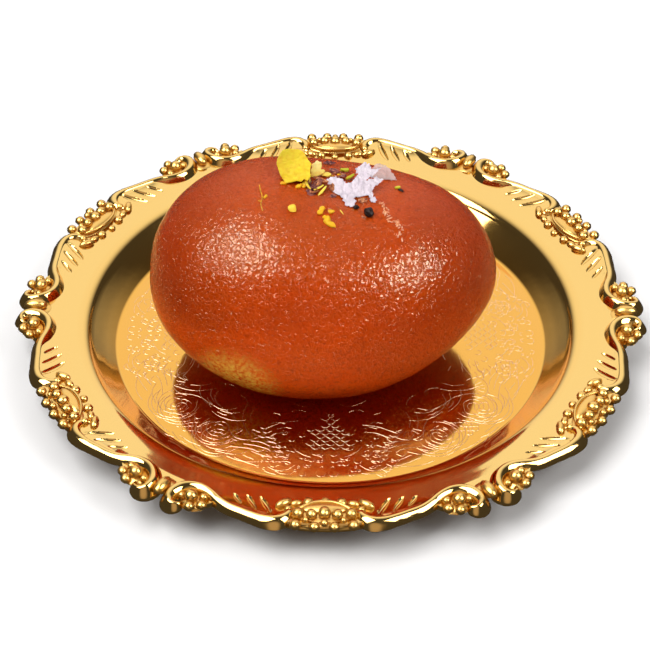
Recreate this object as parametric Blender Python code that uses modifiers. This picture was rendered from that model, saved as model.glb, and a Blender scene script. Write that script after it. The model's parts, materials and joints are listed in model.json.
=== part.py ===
"""Gulab jamun with a pistachio and silver-leaf garnish, on its small round gilt tray.

Lengths are in metres and +Z is up. The origin is the centre of the tray's flat
underside, on the surface that the tray stands on. The tray is one casting; the
sweet rests in its well, and the garnish rests on the sweet.
"""
import math

import bmesh
import bpy
from mathutils import Matrix, Vector

MM = 0.001
GAP = 0.3 * MM                      # air between two pieces that touch

# Tray, turned part: flat well, sloping wall, soft shoulder, gently rising brim
SHEET = 1.4 * MM
WELL_TOP = SHEET
WELL_RADIUS = 43.2 * MM
SHOULDER_RADIUS = 51.0 * MM
SHOULDER_RISE = 5.6 * MM            # shoulder above the well
BRIM_RADIUS = 58.6 * MM
BRIM_RISE = 6.7 * MM                # brim's edge above the well
WALL_STEPS = 3
TURN_STEPS = 36

# Tray, cast rim: six cartouches of beads, and six pairs of scrolls between them
SECTORS = 6
SECTOR = math.tau / SECTORS
RIM_HEIGHT = WELL_TOP + 6.9 * MM    # middle of the rim's bars and beads
BAR_RADIUS = 1.15 * MM
KNUCKLE = Vector((60.2, 21.9, 0.0)) * MM      # bar's end at the cartouche: out, along
CROOK = Vector((59.2, 6.4, 0.0)) * MM         # centre of a scroll: out, along
SCROLL_RADIUS = 3.6 * MM
SCROLL_FROM = math.radians(25)
SCROLL_TO = math.radians(250)
SCROLL_POINTS = 6
BAR_RESOLUTION = 1                  # bevel resolution of the bars and scrolls

# Rim's relief, as half sizes (out, along, up); places are out and along from a sector's axis
CROOK_BALL = Vector((1.5, 1.5, 1.4)) * MM
CROOK_BALL_AT = CROOK + Vector((0.0, 0.4, 0.0)) * MM
TIP_BALL = Vector((1.1, 1.2, 1.1)) * MM
TIP_BALL_AT = Vector((62.2, 5.4, 0.0)) * MM
BUD = Vector((2.5, 1.3, 1.2)) * MM
BUD_AT = Vector((58.9, 0.0, 0.0)) * MM
PAD = Vector((3.6, 10.6, 0.9)) * MM
PAD_AT = Vector((58.0, 0.0, -0.4)) * MM
PAD_SIDES = 10
BOSS = Vector((1.5, 2.4, 1.6)) * MM
BOSS_AT = Vector((58.4, 0.0, 0.0)) * MM
KNUCKLE_BALL = Vector((1.35, 1.4, 1.35)) * MM
KNUCKLE_BALL_AT = Vector((60.2, 9.4, 0.0)) * MM
EDGE_BEAD = Vector((0.95, 1.0, 1.0)) * MM
EDGE_BEAD_AT = Vector((61.0, 2.9, 0.0)) * MM  # along: the step from bead to bead
INNER_BEAD = 0.85 * MM
INNER_BEAD_GROWTH = 0.13 * MM       # each bead is larger than the one nearer the middle
INNER_BEAD_AT = Vector((54.4, 3.8, -0.4)) * MM
INNER_ROW_BOW = 0.2 * MM
BEAD_SIDES = 5
BEAD_RINGS = 4
BEADS_EACH_SIDE = 2                 # beads of a row on each side of its middle one

# Gulab jamun: a long soft ball, flat underneath, with two low crowns
JAMUN_HALF_LENGTH = 34.0 * MM
JAMUN_HALF_WIDTH = 25.0 * MM
JAMUN_EQUATOR = 17.2 * MM           # widest level above its base
JAMUN_CROWN = 24.9 * MM             # crown above the widest level, before the saddle
JAMUN_PLACE = Vector((-1.3, -3.4, 0.0)) * MM
JAMUN_TURN = math.radians(1.0)
LEFT_END = 2.30                     # roundness of the blunt end
RIGHT_END = 1.92                    # roundness of the narrower end
CROWN_ROUND = 0.90
BASE_ROUND = 0.66
SADDLE_DEPTH = 0.15                 # share of the crown lost between its two lobes
SADDLE_AT = 0.22
SADDLE_WIDTH = 0.55
END_LIFT = 0.7 * MM
END_BOW = 1.2 * MM
BOW_AT = -0.14                      # station where the long axis lies lowest
JAMUN_BASE = WELL_TOP + GAP
JAMUN_SEGMENTS = 32
JAMUN_RINGS = 18

# Garnish on the crown; a place gives x and y, and a leaf's size its halves and its crease
CHUNK_SIZE = Vector((5.8, 4.6, 5.0)) * MM
CHUNK_PLACE = Vector((-6.9, 0.2, 0.0)) * MM
CHUNK_TILT = math.radians(-12)
SLICE_SIZE = Vector((2.6, 1.1, 3.0)) * MM
SLICE_PLACE = Vector((-2.6, 1.2, 0.0)) * MM
SLICE_TILT = math.radians(-20)
CHIP_CUTS = 2
CHIP_ROUNDING = 0.45                # how far a chip's block goes towards a ball
CHIP_BALL = 0.56                    # radius of that ball, in blocks
CHIP_RAGGED = 0.09
SEAT = 0.5 * MM                     # how far a chip would sink in before it is trimmed
LEAF_SIZE = Vector((4.2, 4.6, 0.35)) * MM
LEAF_PLACE = Vector((4.2, -3.0, 0.0)) * MM
LEAF_HORNS = 5
LEAF_CELLS = 9
LEAF_LIFT = 2.2 * MM                # rise of the back edge
FLAKE_SIZE = Vector((1.7, 2.0, 0.15)) * MM
FLAKE_PLACE = Vector((11.0, 5.4, 0.0)) * MM
FLAKE_HORNS = 3
FLAKE_CELLS = 5
FLAKE_LIFT = 2.6 * MM
LEAF_THICKNESS = 0.35 * MM
HORN_SHARE = 0.22                   # how much the torn edge's horns add to its reach
CREASE_LENGTH = 6.6 * MM            # from one crease of the leaf to the next
SEED_SIZE = Vector((2.9, 2.1, 1.9)) * MM
SEED_PLACE = Vector((7.3, -10.0, 0.0)) * MM
SEED_TURN = math.radians(35)
SEED_RIBS = 10
SEED_GROOVE = 0.94                  # a groove's radius as a share of a rib's

SHARP_EDGE = math.radians(40)       # edges over this angle aren't shaded smooth
GILT = ("gilt_brass", (0.85, 0.58, 0.20), 0.16, 1.0)
FRIED_MILK_DOUGH = ("syrup_soaked_dough", (0.42, 0.12, 0.02), 0.28, 0.0)
PISTACHIO = ("pistachio", (0.72, 0.66, 0.12), 0.55, 0.0)
SILVER_LEAF = ("silver_leaf", (0.92, 0.89, 0.89), 0.35, 1.0)
CARDAMOM = ("cardamom_seed", (0.05, 0.03, 0.02), 0.6, 0.0)


def clear_scene():
    """Remove what the open file holds."""
    for thing in list(bpy.data.objects):
        bpy.data.objects.remove(thing, do_unlink=True)


def new_collection(name):
    """Return a new collection in the scene."""
    collection = bpy.data.collections.new(name)
    bpy.context.scene.collection.children.link(collection)
    return collection


def new_material(finish):
    """Return a Principled material from (name, colour, roughness, metallic)."""
    name, colour, roughness, metallic = finish
    material = bpy.data.materials.new(name)
    material.use_nodes = True
    shader = material.node_tree.nodes["Principled BSDF"]
    shader.inputs["Base Color"].default_value = (*colour, 1.0)
    shader.inputs["Roughness"].default_value = roughness
    shader.inputs["Metallic"].default_value = metallic
    return material


def new_object(name, mesh, collection, finish=None):
    """Put a mesh in the scene as a named object, with its material and smooth shading."""
    piece = bpy.data.objects.new(name, mesh)
    collection.objects.link(piece)
    if finish:
        mesh.materials.append(new_material(finish))
        mesh.shade_smooth()
        mesh.set_sharp_from_angle(angle=SHARP_EDGE)
    return piece


def as_guide(piece):
    """Mark an object as a cutter or a guide, which isn't a part."""
    piece.hide_render = True
    piece.display_type = "WIRE"


def combine(piece, operation, other):
    """Add a Boolean of one object, or of a collection's objects, to a piece."""
    boolean = piece.modifiers.new(operation.lower(), "BOOLEAN")
    boolean.operation = operation
    boolean.solver = "EXACT"
    if isinstance(other, bpy.types.Collection):
        boolean.operand_type = "COLLECTION"
        boolean.collection = other
    else:
        boolean.object = other


# ---------------------------------------------------------------- tray, turned part

def top_outline():
    """Return the tray's upper outline, axis to edge, as points (radius, 0, height)."""
    points = [Vector((0.0, 0.0, WELL_TOP)), Vector((WELL_RADIUS, 0.0, WELL_TOP))]
    for step in range(1, WALL_STEPS + 1):
        share = step / WALL_STEPS
        radius = WELL_RADIUS + share * (SHOULDER_RADIUS - WELL_RADIUS)
        height = WELL_TOP + SHOULDER_RISE * math.sin(share * math.pi / 2)
        points.append(Vector((radius, 0.0, height)))
    points.append(Vector((BRIM_RADIUS, 0.0, WELL_TOP + BRIM_RISE)))
    return points


def under_outline(top):
    """Return the outline one sheet thickness below the upper one, edge to axis."""
    under = []
    for before, point, after in zip(top, top[1:], top[2:] + [top[-1]]):
        way = (after - before).normalized()
        below = Vector((way.z, 0.0, -way.x)) * SHEET
        under.append(point + below)
    under[0] = Vector((WELL_RADIUS, 0.0, 0.0))
    under.insert(0, Vector((0.0, 0.0, 0.0)))
    return under[::-1]


def make_tray_sheet(collection):
    """Turn the tray's outline round the axis."""
    top = top_outline()
    outline = top + under_outline(top)
    mesh = bpy.data.meshes.new("tray")
    edges = [(index, index + 1) for index in range(len(outline) - 1)]
    mesh.from_pydata(outline, edges, [])
    tray = new_object("dish", mesh, collection, GILT)
    screw = tray.modifiers.new("turn", "SCREW")
    screw.steps = TURN_STEPS
    screw.render_steps = TURN_STEPS
    screw.use_merge_vertices = True
    screw.merge_threshold = 0.00001
    return tray


# ---------------------------------------------------------------- tray, cast rim

def rim_point(axis_angle, place, side=1):
    """Return a rim point from its place (out, along, up) beside a sector's axis."""
    angle = axis_angle + side * place.y / place.x
    return Vector((place.x * math.cos(angle), place.x * math.sin(angle), RIM_HEIGHT + place.z))


def add_bead(collection, axis_angle, size, place, side=1, sides=BEAD_SIDES):
    """Add an ellipsoid of half sizes (out, along, up) to the rim's relief."""
    shape = bmesh.new()
    bmesh.ops.create_uvsphere(shape, u_segments=sides, v_segments=BEAD_RINGS, radius=1.0)
    spot = Matrix.Translation(rim_point(axis_angle, place, side))
    turn = Matrix.Rotation(axis_angle + side * place.y / place.x, 4, "Z")
    scale = Matrix.Diagonal((*size, 1.0))
    bmesh.ops.transform(shape, matrix=spot @ turn @ scale, verts=shape.verts)
    mesh = bpy.data.meshes.new("bead")
    shape.to_mesh(mesh)
    shape.free()
    as_guide(new_object("bead", mesh, collection))


def scroll_route(axis_angle, side):
    """Return the points of a bar and the scroll it ends in."""
    route = [rim_point(axis_angle, KNUCKLE, side)]
    for step in range(SCROLL_POINTS):
        turn = SCROLL_FROM + (SCROLL_TO - SCROLL_FROM) * step / (SCROLL_POINTS - 1)
        arm = Vector((-math.sin(turn), math.cos(turn), 0.0)) * SCROLL_RADIUS
        route.append(rim_point(axis_angle, CROOK + arm, side))
    return route


def add_rod(collection, route, radius):
    """Add a round rod with closed ends along a route, as a mesh."""
    curve = bpy.data.curves.new("rod", "CURVE")
    curve.dimensions = "3D"
    curve.bevel_depth = radius
    curve.bevel_resolution = BAR_RESOLUTION
    curve.use_fill_caps = True
    spline = curve.splines.new("POLY")
    spline.points.add(len(route) - 1)
    for point, place in zip(spline.points, route):
        point.co = (*place, 1.0)
    drawn = bpy.data.objects.new("rod_route", curve)
    collection.objects.link(drawn)
    depsgraph = bpy.context.evaluated_depsgraph_get()
    mesh = bpy.data.meshes.new_from_object(drawn.evaluated_get(depsgraph))
    bpy.data.objects.remove(drawn, do_unlink=True)
    shape = bmesh.new()
    shape.from_mesh(mesh)
    bmesh.ops.remove_doubles(shape, verts=shape.verts, dist=0.000001)
    bmesh.ops.recalc_face_normals(shape, faces=shape.faces)
    shape.to_mesh(mesh)
    shape.free()
    as_guide(new_object("rod", mesh, collection))


def add_scroll_pair(collection, axis_angle):
    """Add two bars that curl back to back round a long bud, with balls in their crooks."""
    for side in (-1, 1):
        add_rod(collection, scroll_route(axis_angle, side), BAR_RADIUS)
        add_bead(collection, axis_angle, CROOK_BALL, CROOK_BALL_AT, side)
        add_bead(collection, axis_angle, TIP_BALL, TIP_BALL_AT, side)
    add_bead(collection, axis_angle, BUD, BUD_AT)


def add_bead_rows(collection, axis_angle):
    """Add a cartouche's row of beads on the rim's edge and its row on the brim."""
    for number in range(-BEADS_EACH_SIDE, BEADS_EACH_SIDE + 1):
        away = abs(number)
        edge_place = EDGE_BEAD_AT.copy()
        edge_place.y *= number
        add_bead(collection, axis_angle, EDGE_BEAD, edge_place)
        inner_place = INNER_BEAD_AT.copy()
        inner_place.x += INNER_ROW_BOW * away
        inner_place.y *= number
        radius = INNER_BEAD + INNER_BEAD_GROWTH * away
        add_bead(collection, axis_angle, Vector((radius, radius, radius)), inner_place)


def add_cartouche(collection, axis_angle):
    """Add an oval boss ringed by beads, with a ball at the end of the bar on each side."""
    add_bead(collection, axis_angle, PAD, PAD_AT, sides=PAD_SIDES)
    add_bead(collection, axis_angle, BOSS, BOSS_AT)
    add_bead_rows(collection, axis_angle)
    for side in (-1, 1):
        add_bead(collection, axis_angle, KNUCKLE_BALL, KNUCKLE_BALL_AT, side)


def make_tray(collection, relief):
    """Make the tray: the turned sheet with the cast rim joined to it."""
    tray = make_tray_sheet(collection)
    for sector in range(SECTORS):
        add_scroll_pair(relief, sector * SECTOR)
        add_cartouche(relief, (sector + 0.5) * SECTOR)
    combine(tray, "UNION", relief)
    return tray


# ---------------------------------------------------------------- the sweet

def signed_power(value, power):
    """Raise the size of a number to a power and keep its sign."""
    return math.copysign(abs(value) ** power, value)


def section_scale(station):
    """Return the size of the cross-section at a station, -1 (left) to 1 (right)."""
    roundness = RIGHT_END if station > 0 else LEFT_END
    return max(0.0, 1.0 - abs(station) ** roundness) ** (1.0 / roundness)


def crown_height(station):
    """Return the crown's height above the widest level, lowered at the saddle."""
    offset = (station - SADDLE_AT) / SADDLE_WIDTH
    return JAMUN_CROWN * (1.0 - SADDLE_DEPTH * math.exp(-offset * offset))


def section_round(station, middle_round):
    """Return a section's roundness, which runs from the middle's value to a full round."""
    return 1.0 - (1.0 - middle_round) * (1.0 - station * station)


def jamun_point(direction, grow=0.0):
    """Move a unit sphere's point, whose poles lie on X, to the sweet's surface."""
    station = max(-1.0, min(1.0, direction.x))
    scale = section_scale(station)
    across = Vector((direction.y, direction.z))
    if across.length > 0.0:
        across.normalize()
    above = across.y > 0.0
    roundness = section_round(station, CROWN_ROUND if above else BASE_ROUND)
    tall = crown_height(station) if above else JAMUN_EQUATOR
    y = (JAMUN_HALF_WIDTH + grow) * scale * signed_power(across.x, roundness)
    z = (tall + grow) * scale * signed_power(across.y, roundness)
    bend = (station - BOW_AT) ** 2
    local = Vector((
        (JAMUN_HALF_LENGTH + grow) * station,
        y + END_BOW * bend,
        JAMUN_EQUATOR + z + END_LIFT * bend,
    ))
    turned = Matrix.Rotation(JAMUN_TURN, 3, "Z") @ local
    return turned + JAMUN_PLACE + Vector((0.0, 0.0, JAMUN_BASE))


def make_jamun_mesh(grow=0.0):
    """Shape a sphere into the sweet's closed skin."""
    shape = bmesh.new()
    bmesh.ops.create_uvsphere(shape, u_segments=JAMUN_SEGMENTS, v_segments=JAMUN_RINGS, radius=1.0)
    bmesh.ops.rotate(shape, matrix=Matrix.Rotation(math.pi / 2, 3, "Y"), verts=shape.verts)
    for vert in shape.verts:
        vert.co = jamun_point(vert.co, grow)
        vert.co.z = max(vert.co.z, JAMUN_BASE)
    mesh = bpy.data.meshes.new("jamun")
    shape.to_mesh(mesh)
    shape.free()
    return mesh


def crown_at(x, y):
    """Return the height of the sweet's upper surface above the point (x, y)."""
    local = Matrix.Rotation(-JAMUN_TURN, 3, "Z") @ (Vector((x, y, 0.0)) - JAMUN_PLACE)
    station = local.x / JAMUN_HALF_LENGTH
    scale = section_scale(station)
    bend = (station - BOW_AT) ** 2
    across = abs(local.y - END_BOW * bend) / (JAMUN_HALF_WIDTH * scale)
    roundness = section_round(station, CROWN_ROUND)
    share = (1.0 - across ** (2.0 / roundness)) ** (roundness / 2.0)
    return JAMUN_BASE + JAMUN_EQUATOR + END_LIFT * bend + crown_height(station) * scale * share


# ---------------------------------------------------------------- garnish

def make_chip(name, size, place, tilt, collection, cutter):
    """Make a rough nut chip from a cut-up block, its foot trimmed to the sweet."""
    shape = bmesh.new()
    bmesh.ops.create_cube(shape, size=1.0)
    bmesh.ops.subdivide_edges(shape, edges=shape.edges, cuts=CHIP_CUTS, use_grid_fill=True)
    for vert in shape.verts:
        ragged = 1.0 + CHIP_RAGGED * math.sin(vert.co.dot(Vector((7.0, 5.0, 9.0))))
        ball = vert.co.normalized() * CHIP_BALL
        vert.co = vert.co.lerp(ball, CHIP_ROUNDING) * ragged
    scale = Matrix.Diagonal((*size, 1.0))
    turn = Matrix.Rotation(tilt, 4, "X")
    middle = crown_at(place.x, place.y) + size.z / 2 - SEAT
    spot = Matrix.Translation((place.x, place.y, middle))
    bmesh.ops.transform(shape, matrix=spot @ turn @ scale, verts=shape.verts)
    mesh = bpy.data.meshes.new(name)
    shape.to_mesh(mesh)
    shape.free()
    chip = new_object(name, mesh, collection, PISTACHIO)
    combine(chip, "DIFFERENCE", cutter)
    return chip


def torn_reach(angle, horns):
    """Return how far a torn leaf reaches in a direction: a unit disc with ragged horns."""
    horn = math.cos(horns * angle) + 0.5 * math.cos((horns + 2) * angle + 1.0)
    return 1.0 + HORN_SHARE * horn


def crease_height(x, y):
    """Return the height of the leaf's crumpling at a point, from 0 to 2."""
    wave = math.tau / CREASE_LENGTH
    return 1.0 + math.sin(wave * (x + y / 2)) * math.cos(wave * (x - y) * 0.8)


def make_leaf(name, place, half_size, horns, cells, lift, collection):
    """Make a crumpled flake of silver leaf that lies on the crown, its back edge lifted."""
    shape = bmesh.new()
    bmesh.ops.create_grid(shape, x_segments=cells, y_segments=cells, size=1.0)
    for vert in shape.verts:
        angle = math.atan2(vert.co.y, vert.co.x)
        reach = max(abs(vert.co.x), abs(vert.co.y)) * torn_reach(angle, horns)
        x = place.x + half_size.x * reach * math.cos(angle)
        y = place.y + half_size.y * reach * math.sin(angle)
        back = max(0.0, reach * math.sin(angle))
        rise = half_size.z * crease_height(x, y) + lift * back ** 1.5
        vert.co = (x, y, crown_at(x, y) + GAP + LEAF_THICKNESS + rise)
    mesh = bpy.data.meshes.new(name)
    shape.to_mesh(mesh)
    shape.free()
    leaf = new_object(name, mesh, collection, SILVER_LEAF)
    thick = leaf.modifiers.new("thickness", "SOLIDIFY")
    thick.thickness = LEAF_THICKNESS
    thick.offset = 0.0
    return leaf


def make_seed(collection):
    """Make a ribbed cardamom seed that lies on the crown."""
    shape = bmesh.new()
    bmesh.ops.create_uvsphere(shape, u_segments=SEED_RIBS, v_segments=SEED_RIBS // 2, radius=0.5)
    for index, vert in enumerate(shape.verts):
        if index % 2:
            vert.co *= SEED_GROOVE
    scale = Matrix.Diagonal((*SEED_SIZE, 1.0))
    turn = Matrix.Rotation(SEED_TURN, 4, "Z")
    height = crown_at(SEED_PLACE.x, SEED_PLACE.y) + SEED_SIZE.z / 2 + 2 * GAP
    spot = Matrix.Translation((SEED_PLACE.x, SEED_PLACE.y, height))
    bmesh.ops.transform(shape, matrix=spot @ turn @ scale, verts=shape.verts)
    mesh = bpy.data.meshes.new("seed")
    shape.to_mesh(mesh)
    shape.free()
    return new_object("cardamom_seed", mesh, collection, CARDAMOM)


def main():
    """Build the tray, the sweet and its garnish."""
    clear_scene()
    parts = new_collection("gulab_jamun_on_tray")
    relief = new_collection("rim_relief")
    cutters = new_collection("cutters")

    make_tray(parts, relief)
    new_object("gulab_jamun", make_jamun_mesh(), parts, FRIED_MILK_DOUGH)
    skin = new_object("skin_cutter", make_jamun_mesh(grow=GAP), cutters)
    as_guide(skin)
    make_chip("pistachio_chunk", CHUNK_SIZE, CHUNK_PLACE, CHUNK_TILT, parts, skin)
    make_chip("pistachio_slice", SLICE_SIZE, SLICE_PLACE, SLICE_TILT, parts, skin)
    make_leaf("silver_leaf", LEAF_PLACE, LEAF_SIZE, LEAF_HORNS, LEAF_CELLS, LEAF_LIFT, parts)
    make_leaf("silver_flake", FLAKE_PLACE, FLAKE_SIZE, FLAKE_HORNS, FLAKE_CELLS, FLAKE_LIFT, parts)
    make_seed(parts)


main()
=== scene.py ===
"""Looks of a gulab jamun, garnished with pistachio and silver leaf, on its gilt tray.

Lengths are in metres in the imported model's frame: +Z is up, the origin is the middle
of the tray's flat underside, and the viewer stands on the -Y side. The tables of
ornament are in millimetres, because that is how a maker would mark them out.
"""
import json
import logging
import math
import random
from collections.abc import Callable, Iterator, Sequence
from contextlib import contextmanager
from dataclasses import dataclass
from enum import Enum

import bmesh
import bpy
from mathutils import Matrix, Vector, noise
from mathutils.bvhtree import BVHTree

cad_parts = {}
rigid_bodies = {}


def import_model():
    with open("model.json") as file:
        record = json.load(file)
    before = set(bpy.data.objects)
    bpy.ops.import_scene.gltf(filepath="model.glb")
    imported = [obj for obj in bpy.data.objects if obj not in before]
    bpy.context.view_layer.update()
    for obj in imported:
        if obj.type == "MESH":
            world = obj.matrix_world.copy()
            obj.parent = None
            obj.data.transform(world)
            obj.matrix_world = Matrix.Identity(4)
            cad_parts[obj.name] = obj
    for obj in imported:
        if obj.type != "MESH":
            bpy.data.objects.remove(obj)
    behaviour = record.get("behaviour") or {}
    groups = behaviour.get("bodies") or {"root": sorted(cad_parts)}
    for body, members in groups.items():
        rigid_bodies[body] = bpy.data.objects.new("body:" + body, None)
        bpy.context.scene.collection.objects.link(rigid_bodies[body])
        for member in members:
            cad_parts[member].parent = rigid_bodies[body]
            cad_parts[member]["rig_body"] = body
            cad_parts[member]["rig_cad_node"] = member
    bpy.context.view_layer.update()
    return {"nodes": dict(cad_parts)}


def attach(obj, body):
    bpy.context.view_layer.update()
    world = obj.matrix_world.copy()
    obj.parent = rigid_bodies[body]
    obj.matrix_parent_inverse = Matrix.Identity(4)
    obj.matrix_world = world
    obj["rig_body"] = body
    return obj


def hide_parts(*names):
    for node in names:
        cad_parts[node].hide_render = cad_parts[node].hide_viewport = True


MM = 0.001
LOG = logging.getLogger("gulab_jamun")
FRONT = math.radians(-90.0)         # the side of the tray that faces the viewer
SECTORS = 6                         # the rim's pattern repeats every 60 degrees
SECTOR = math.tau / SECTORS


class Slot(Enum):
    """The record's material slots."""

    GILT = "gilt_metal"
    DOUGH = "syrup_soaked_dough"
    PISTACHIO = "pistachio"
    SILVER = "silver_leaf"
    CARDAMOM = "cardamom"
    SAFFRON = "saffron"


# ------------------------------------------------------------------ working by hand

def deselect_all() -> None:
    """Leave nothing selected, so that an operator acts only on what is chosen next."""
    if bpy.context.mode != "OBJECT":
        bpy.ops.object.mode_set(mode="OBJECT")
    bpy.ops.object.select_all(action="DESELECT")


def work_on(piece: bpy.types.Object) -> None:
    """Select one piece alone and make it the active one."""
    deselect_all()
    piece.select_set(True)
    bpy.context.view_layer.objects.active = piece


def added(name: str, primitive: Callable, **settings: object) -> bpy.types.Object:
    """Add a primitive, with nothing else selected.

    Args:
        name: Name of the new piece.
        primitive: The operator that adds it.
        settings: The operator's own settings.

    Returns:
        The new object.
    """
    deselect_all()
    primitive(**settings)
    piece = bpy.context.active_object
    piece.name = piece.data.name = name
    return piece


@contextmanager
def edit_mode(piece: bpy.types.Object, chosen: Callable | None = None,
              kind: str = "VERT") -> Iterator[None]:
    """Open a piece in edit mode with some of it selected, and close it afterwards.

    Args:
        piece: The mesh object to edit.
        chosen: Test of a vertex, edge or face; all of the piece if left out.
        kind: What the test is given, VERT, EDGE or FACE.

    Yields:
        Nothing; operators run inside the with block.
    """
    work_on(piece)
    bpy.ops.object.mode_set(mode="EDIT")
    bpy.ops.mesh.select_mode(type=kind)
    bpy.ops.mesh.select_all(action="DESELECT" if chosen else "SELECT")
    if chosen:
        shape = bmesh.from_edit_mesh(piece.data)
        parts = {"VERT": shape.verts, "EDGE": shape.edges, "FACE": shape.faces}[kind]
        for part in parts:
            part.select_set(chosen(part))
        shape.select_flush_mode()
        bmesh.update_edit_mesh(piece.data)
    yield
    bpy.ops.object.mode_set(mode="OBJECT")


def apply_modifier(piece: bpy.types.Object, name: str, kind: str,
                   **settings: object) -> None:
    """Add a modifier to a piece and apply it.

    Args:
        piece: The mesh object.
        name: The modifier's name.
        kind: The modifier's type.
        settings: The modifier's own settings.
    """
    work_on(piece)
    modifier = piece.modifiers.new(name, kind)
    for key, value in settings.items():
        setattr(modifier, key, value)
    bpy.ops.object.modifier_apply(modifier=name)


def settle(piece: bpy.types.Object, smooth: float = 40.0, merge: float = 0.002) -> None:
    """Put a piece's place into its mesh, close its seams and turn its faces outwards.

    Args:
        piece: The mesh object.
        smooth: Angle in degrees up to which edges are shaded smooth.
        merge: Distance in millimetres within which points become one.
    """
    work_on(piece)
    bpy.ops.object.transform_apply(location=True, rotation=True, scale=True)
    with edit_mode(piece):
        bpy.ops.mesh.remove_doubles(threshold=merge * MM)
        bpy.ops.mesh.normals_make_consistent(inside=False)
    work_on(piece)
    bpy.ops.object.shade_smooth_by_angle(angle=math.radians(smooth))


def joined(name: str, pieces: Sequence[bpy.types.Object]) -> bpy.types.Object:
    """Join pieces into the first of them.

    Args:
        name: Name of the joined piece.
        pieces: The mesh objects.

    Returns:
        The joined object.
    """
    deselect_all()
    for piece in pieces:
        piece.select_set(True)
    bpy.context.view_layer.objects.active = pieces[0]
    if len(pieces) > 1:
        bpy.ops.object.join()
    pieces[0].name = pieces[0].data.name = name
    return pieces[0]


def copied(piece: bpy.types.Object, matrix: Matrix) -> bpy.types.Object:
    """Copy a piece with its own mesh, moved by a matrix; a mirrored copy is turned out.

    Args:
        piece: The mesh object.
        matrix: Where the copy goes.

    Returns:
        The copy.
    """
    twin = piece.copy()
    twin.data = piece.data.copy()
    twin.data.transform(matrix)
    if matrix.determinant() < 0.0:
        twin.data.flip_normals()
    bpy.context.scene.collection.objects.link(twin)
    return twin


def drawn(name: str, routes: Sequence[Sequence[Vector]], thick: float = 0.0,
          widths: Sequence[float] | None = None, section: Sequence[Vector] | None = None,
          rounds: int = 2, steps: int = 5, curved: bool = True) -> bpy.types.Object:
    """Draw lines as a curve, give them a thickness and make them a mesh.

    Args:
        name: Name of the piece.
        routes: One list of points for each line.
        thick: Radius of a round line.
        widths: Share of the thickness at each point of every line.
        section: Outline of a shaped line, in place of a round one.
        rounds: How round the line's section is.
        steps: Pieces between one point and the next.
        curved: Whether the line runs smoothly through its points.

    Returns:
        The mesh object.
    """
    curve = bpy.data.curves.new(name, "CURVE")
    curve.dimensions = "3D"
    curve.twist_mode = "Z_UP"
    curve.resolution_u = curve.render_resolution_u = steps
    curve.bevel_resolution = rounds
    curve.use_fill_caps = True
    for route in routes:
        line = curve.splines.new("BEZIER" if curved else "POLY")
        points = line.bezier_points if curved else line.points
        points.add(len(route) - 1)
        for number, (point, place) in enumerate(zip(points, route)):
            point.radius = widths[number] if widths else 1.0
            if curved:
                point.co = place
                point.handle_left_type = point.handle_right_type = "AUTO"
            else:
                point.co = (*place, 1.0)
    profile = None
    if section:
        outline = bpy.data.curves.new(name + "_section", "CURVE")
        loop = outline.splines.new("POLY")
        loop.points.add(len(section) - 1)
        loop.use_cyclic_u = True
        for point, place in zip(loop.points, section):
            point.co = (place.x, place.y, 0.0, 1.0)
        profile = bpy.data.objects.new(name + "_section", outline)
        bpy.context.scene.collection.objects.link(profile)
        curve.bevel_mode = "OBJECT"
        curve.bevel_object = profile
    else:
        curve.bevel_depth = thick
    piece = bpy.data.objects.new(name, curve)
    bpy.context.scene.collection.objects.link(piece)
    work_on(piece)
    bpy.ops.object.convert(target="MESH")
    piece = bpy.context.active_object
    if profile:
        bpy.data.objects.remove(profile, do_unlink=True)
    return piece


def dressed(piece: bpy.types.Object, finish: "Finish", slot: Slot,
            *nodes: str) -> bpy.types.Object:
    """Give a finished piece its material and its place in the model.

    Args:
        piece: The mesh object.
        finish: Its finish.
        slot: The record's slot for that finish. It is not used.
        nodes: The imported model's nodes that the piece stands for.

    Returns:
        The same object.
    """
    piece.data.materials.clear()
    piece.data.materials.append(finish.material())
    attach(piece, "root")
    if nodes:
        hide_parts(*nodes)
    piece.data.calc_loop_triangles()
    LOG.info("%s: %d triangles", piece.name, len(piece.data.loop_triangles))
    return piece


# ------------------------------------------------------------------ finishes

def colour(code: str) -> tuple[float, float, float, float]:
    """Turn an sRGB hex code into a linear colour.

    Args:
        code: Six hex digits.

    Returns:
        Red, green, blue and an alpha of 1.
    """
    shares = [int(code[place:place + 2], 16) / 255.0 for place in (0, 2, 4)]
    linear = [s / 12.92 if s <= 0.04045 else ((s + 0.055) / 1.055) ** 2.4 for s in shares]
    return (linear[0], linear[1], linear[2], 1.0)


def add_node(tree: bpy.types.NodeTree, kind: str, settings: dict | None = None,
             links: dict | None = None) -> bpy.types.Node:
    """Add a node with its settings and links.

    Args:
        tree: The tree it goes in.
        kind: The node's type, without the word ShaderNode.
        settings: Values of its inputs, by name or number, or of its properties.
        links: The outputs that feed its inputs, by name or number.

    Returns:
        The node.
    """
    node = tree.nodes.new("ShaderNode" + kind)
    for key, value in (settings or {}).items():
        if isinstance(key, str) and hasattr(node, key):
            setattr(node, key, value)
        else:
            node.inputs[key].default_value = value
    for key, source in (links or {}).items():
        tree.links.new(source, node.inputs[key])
    return node


@dataclass(frozen=True)
class Finish:
    """A finish, whose material is made once and shared by the pieces that have it."""

    name: str

    def material(self) -> bpy.types.Material:
        """Return the finish's material."""
        made = bpy.data.materials.get(self.name)
        if made is None:
            made = bpy.data.materials.new(self.name)
            made.use_nodes = True
            tree = made.node_tree
            self.fill(tree, tree.nodes["Principled BSDF"])
        return made

    def fill(self, tree: bpy.types.NodeTree, shader: bpy.types.Node) -> None:
        """Add the finish's nodes to its material."""
        raise NotImplementedError


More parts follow.
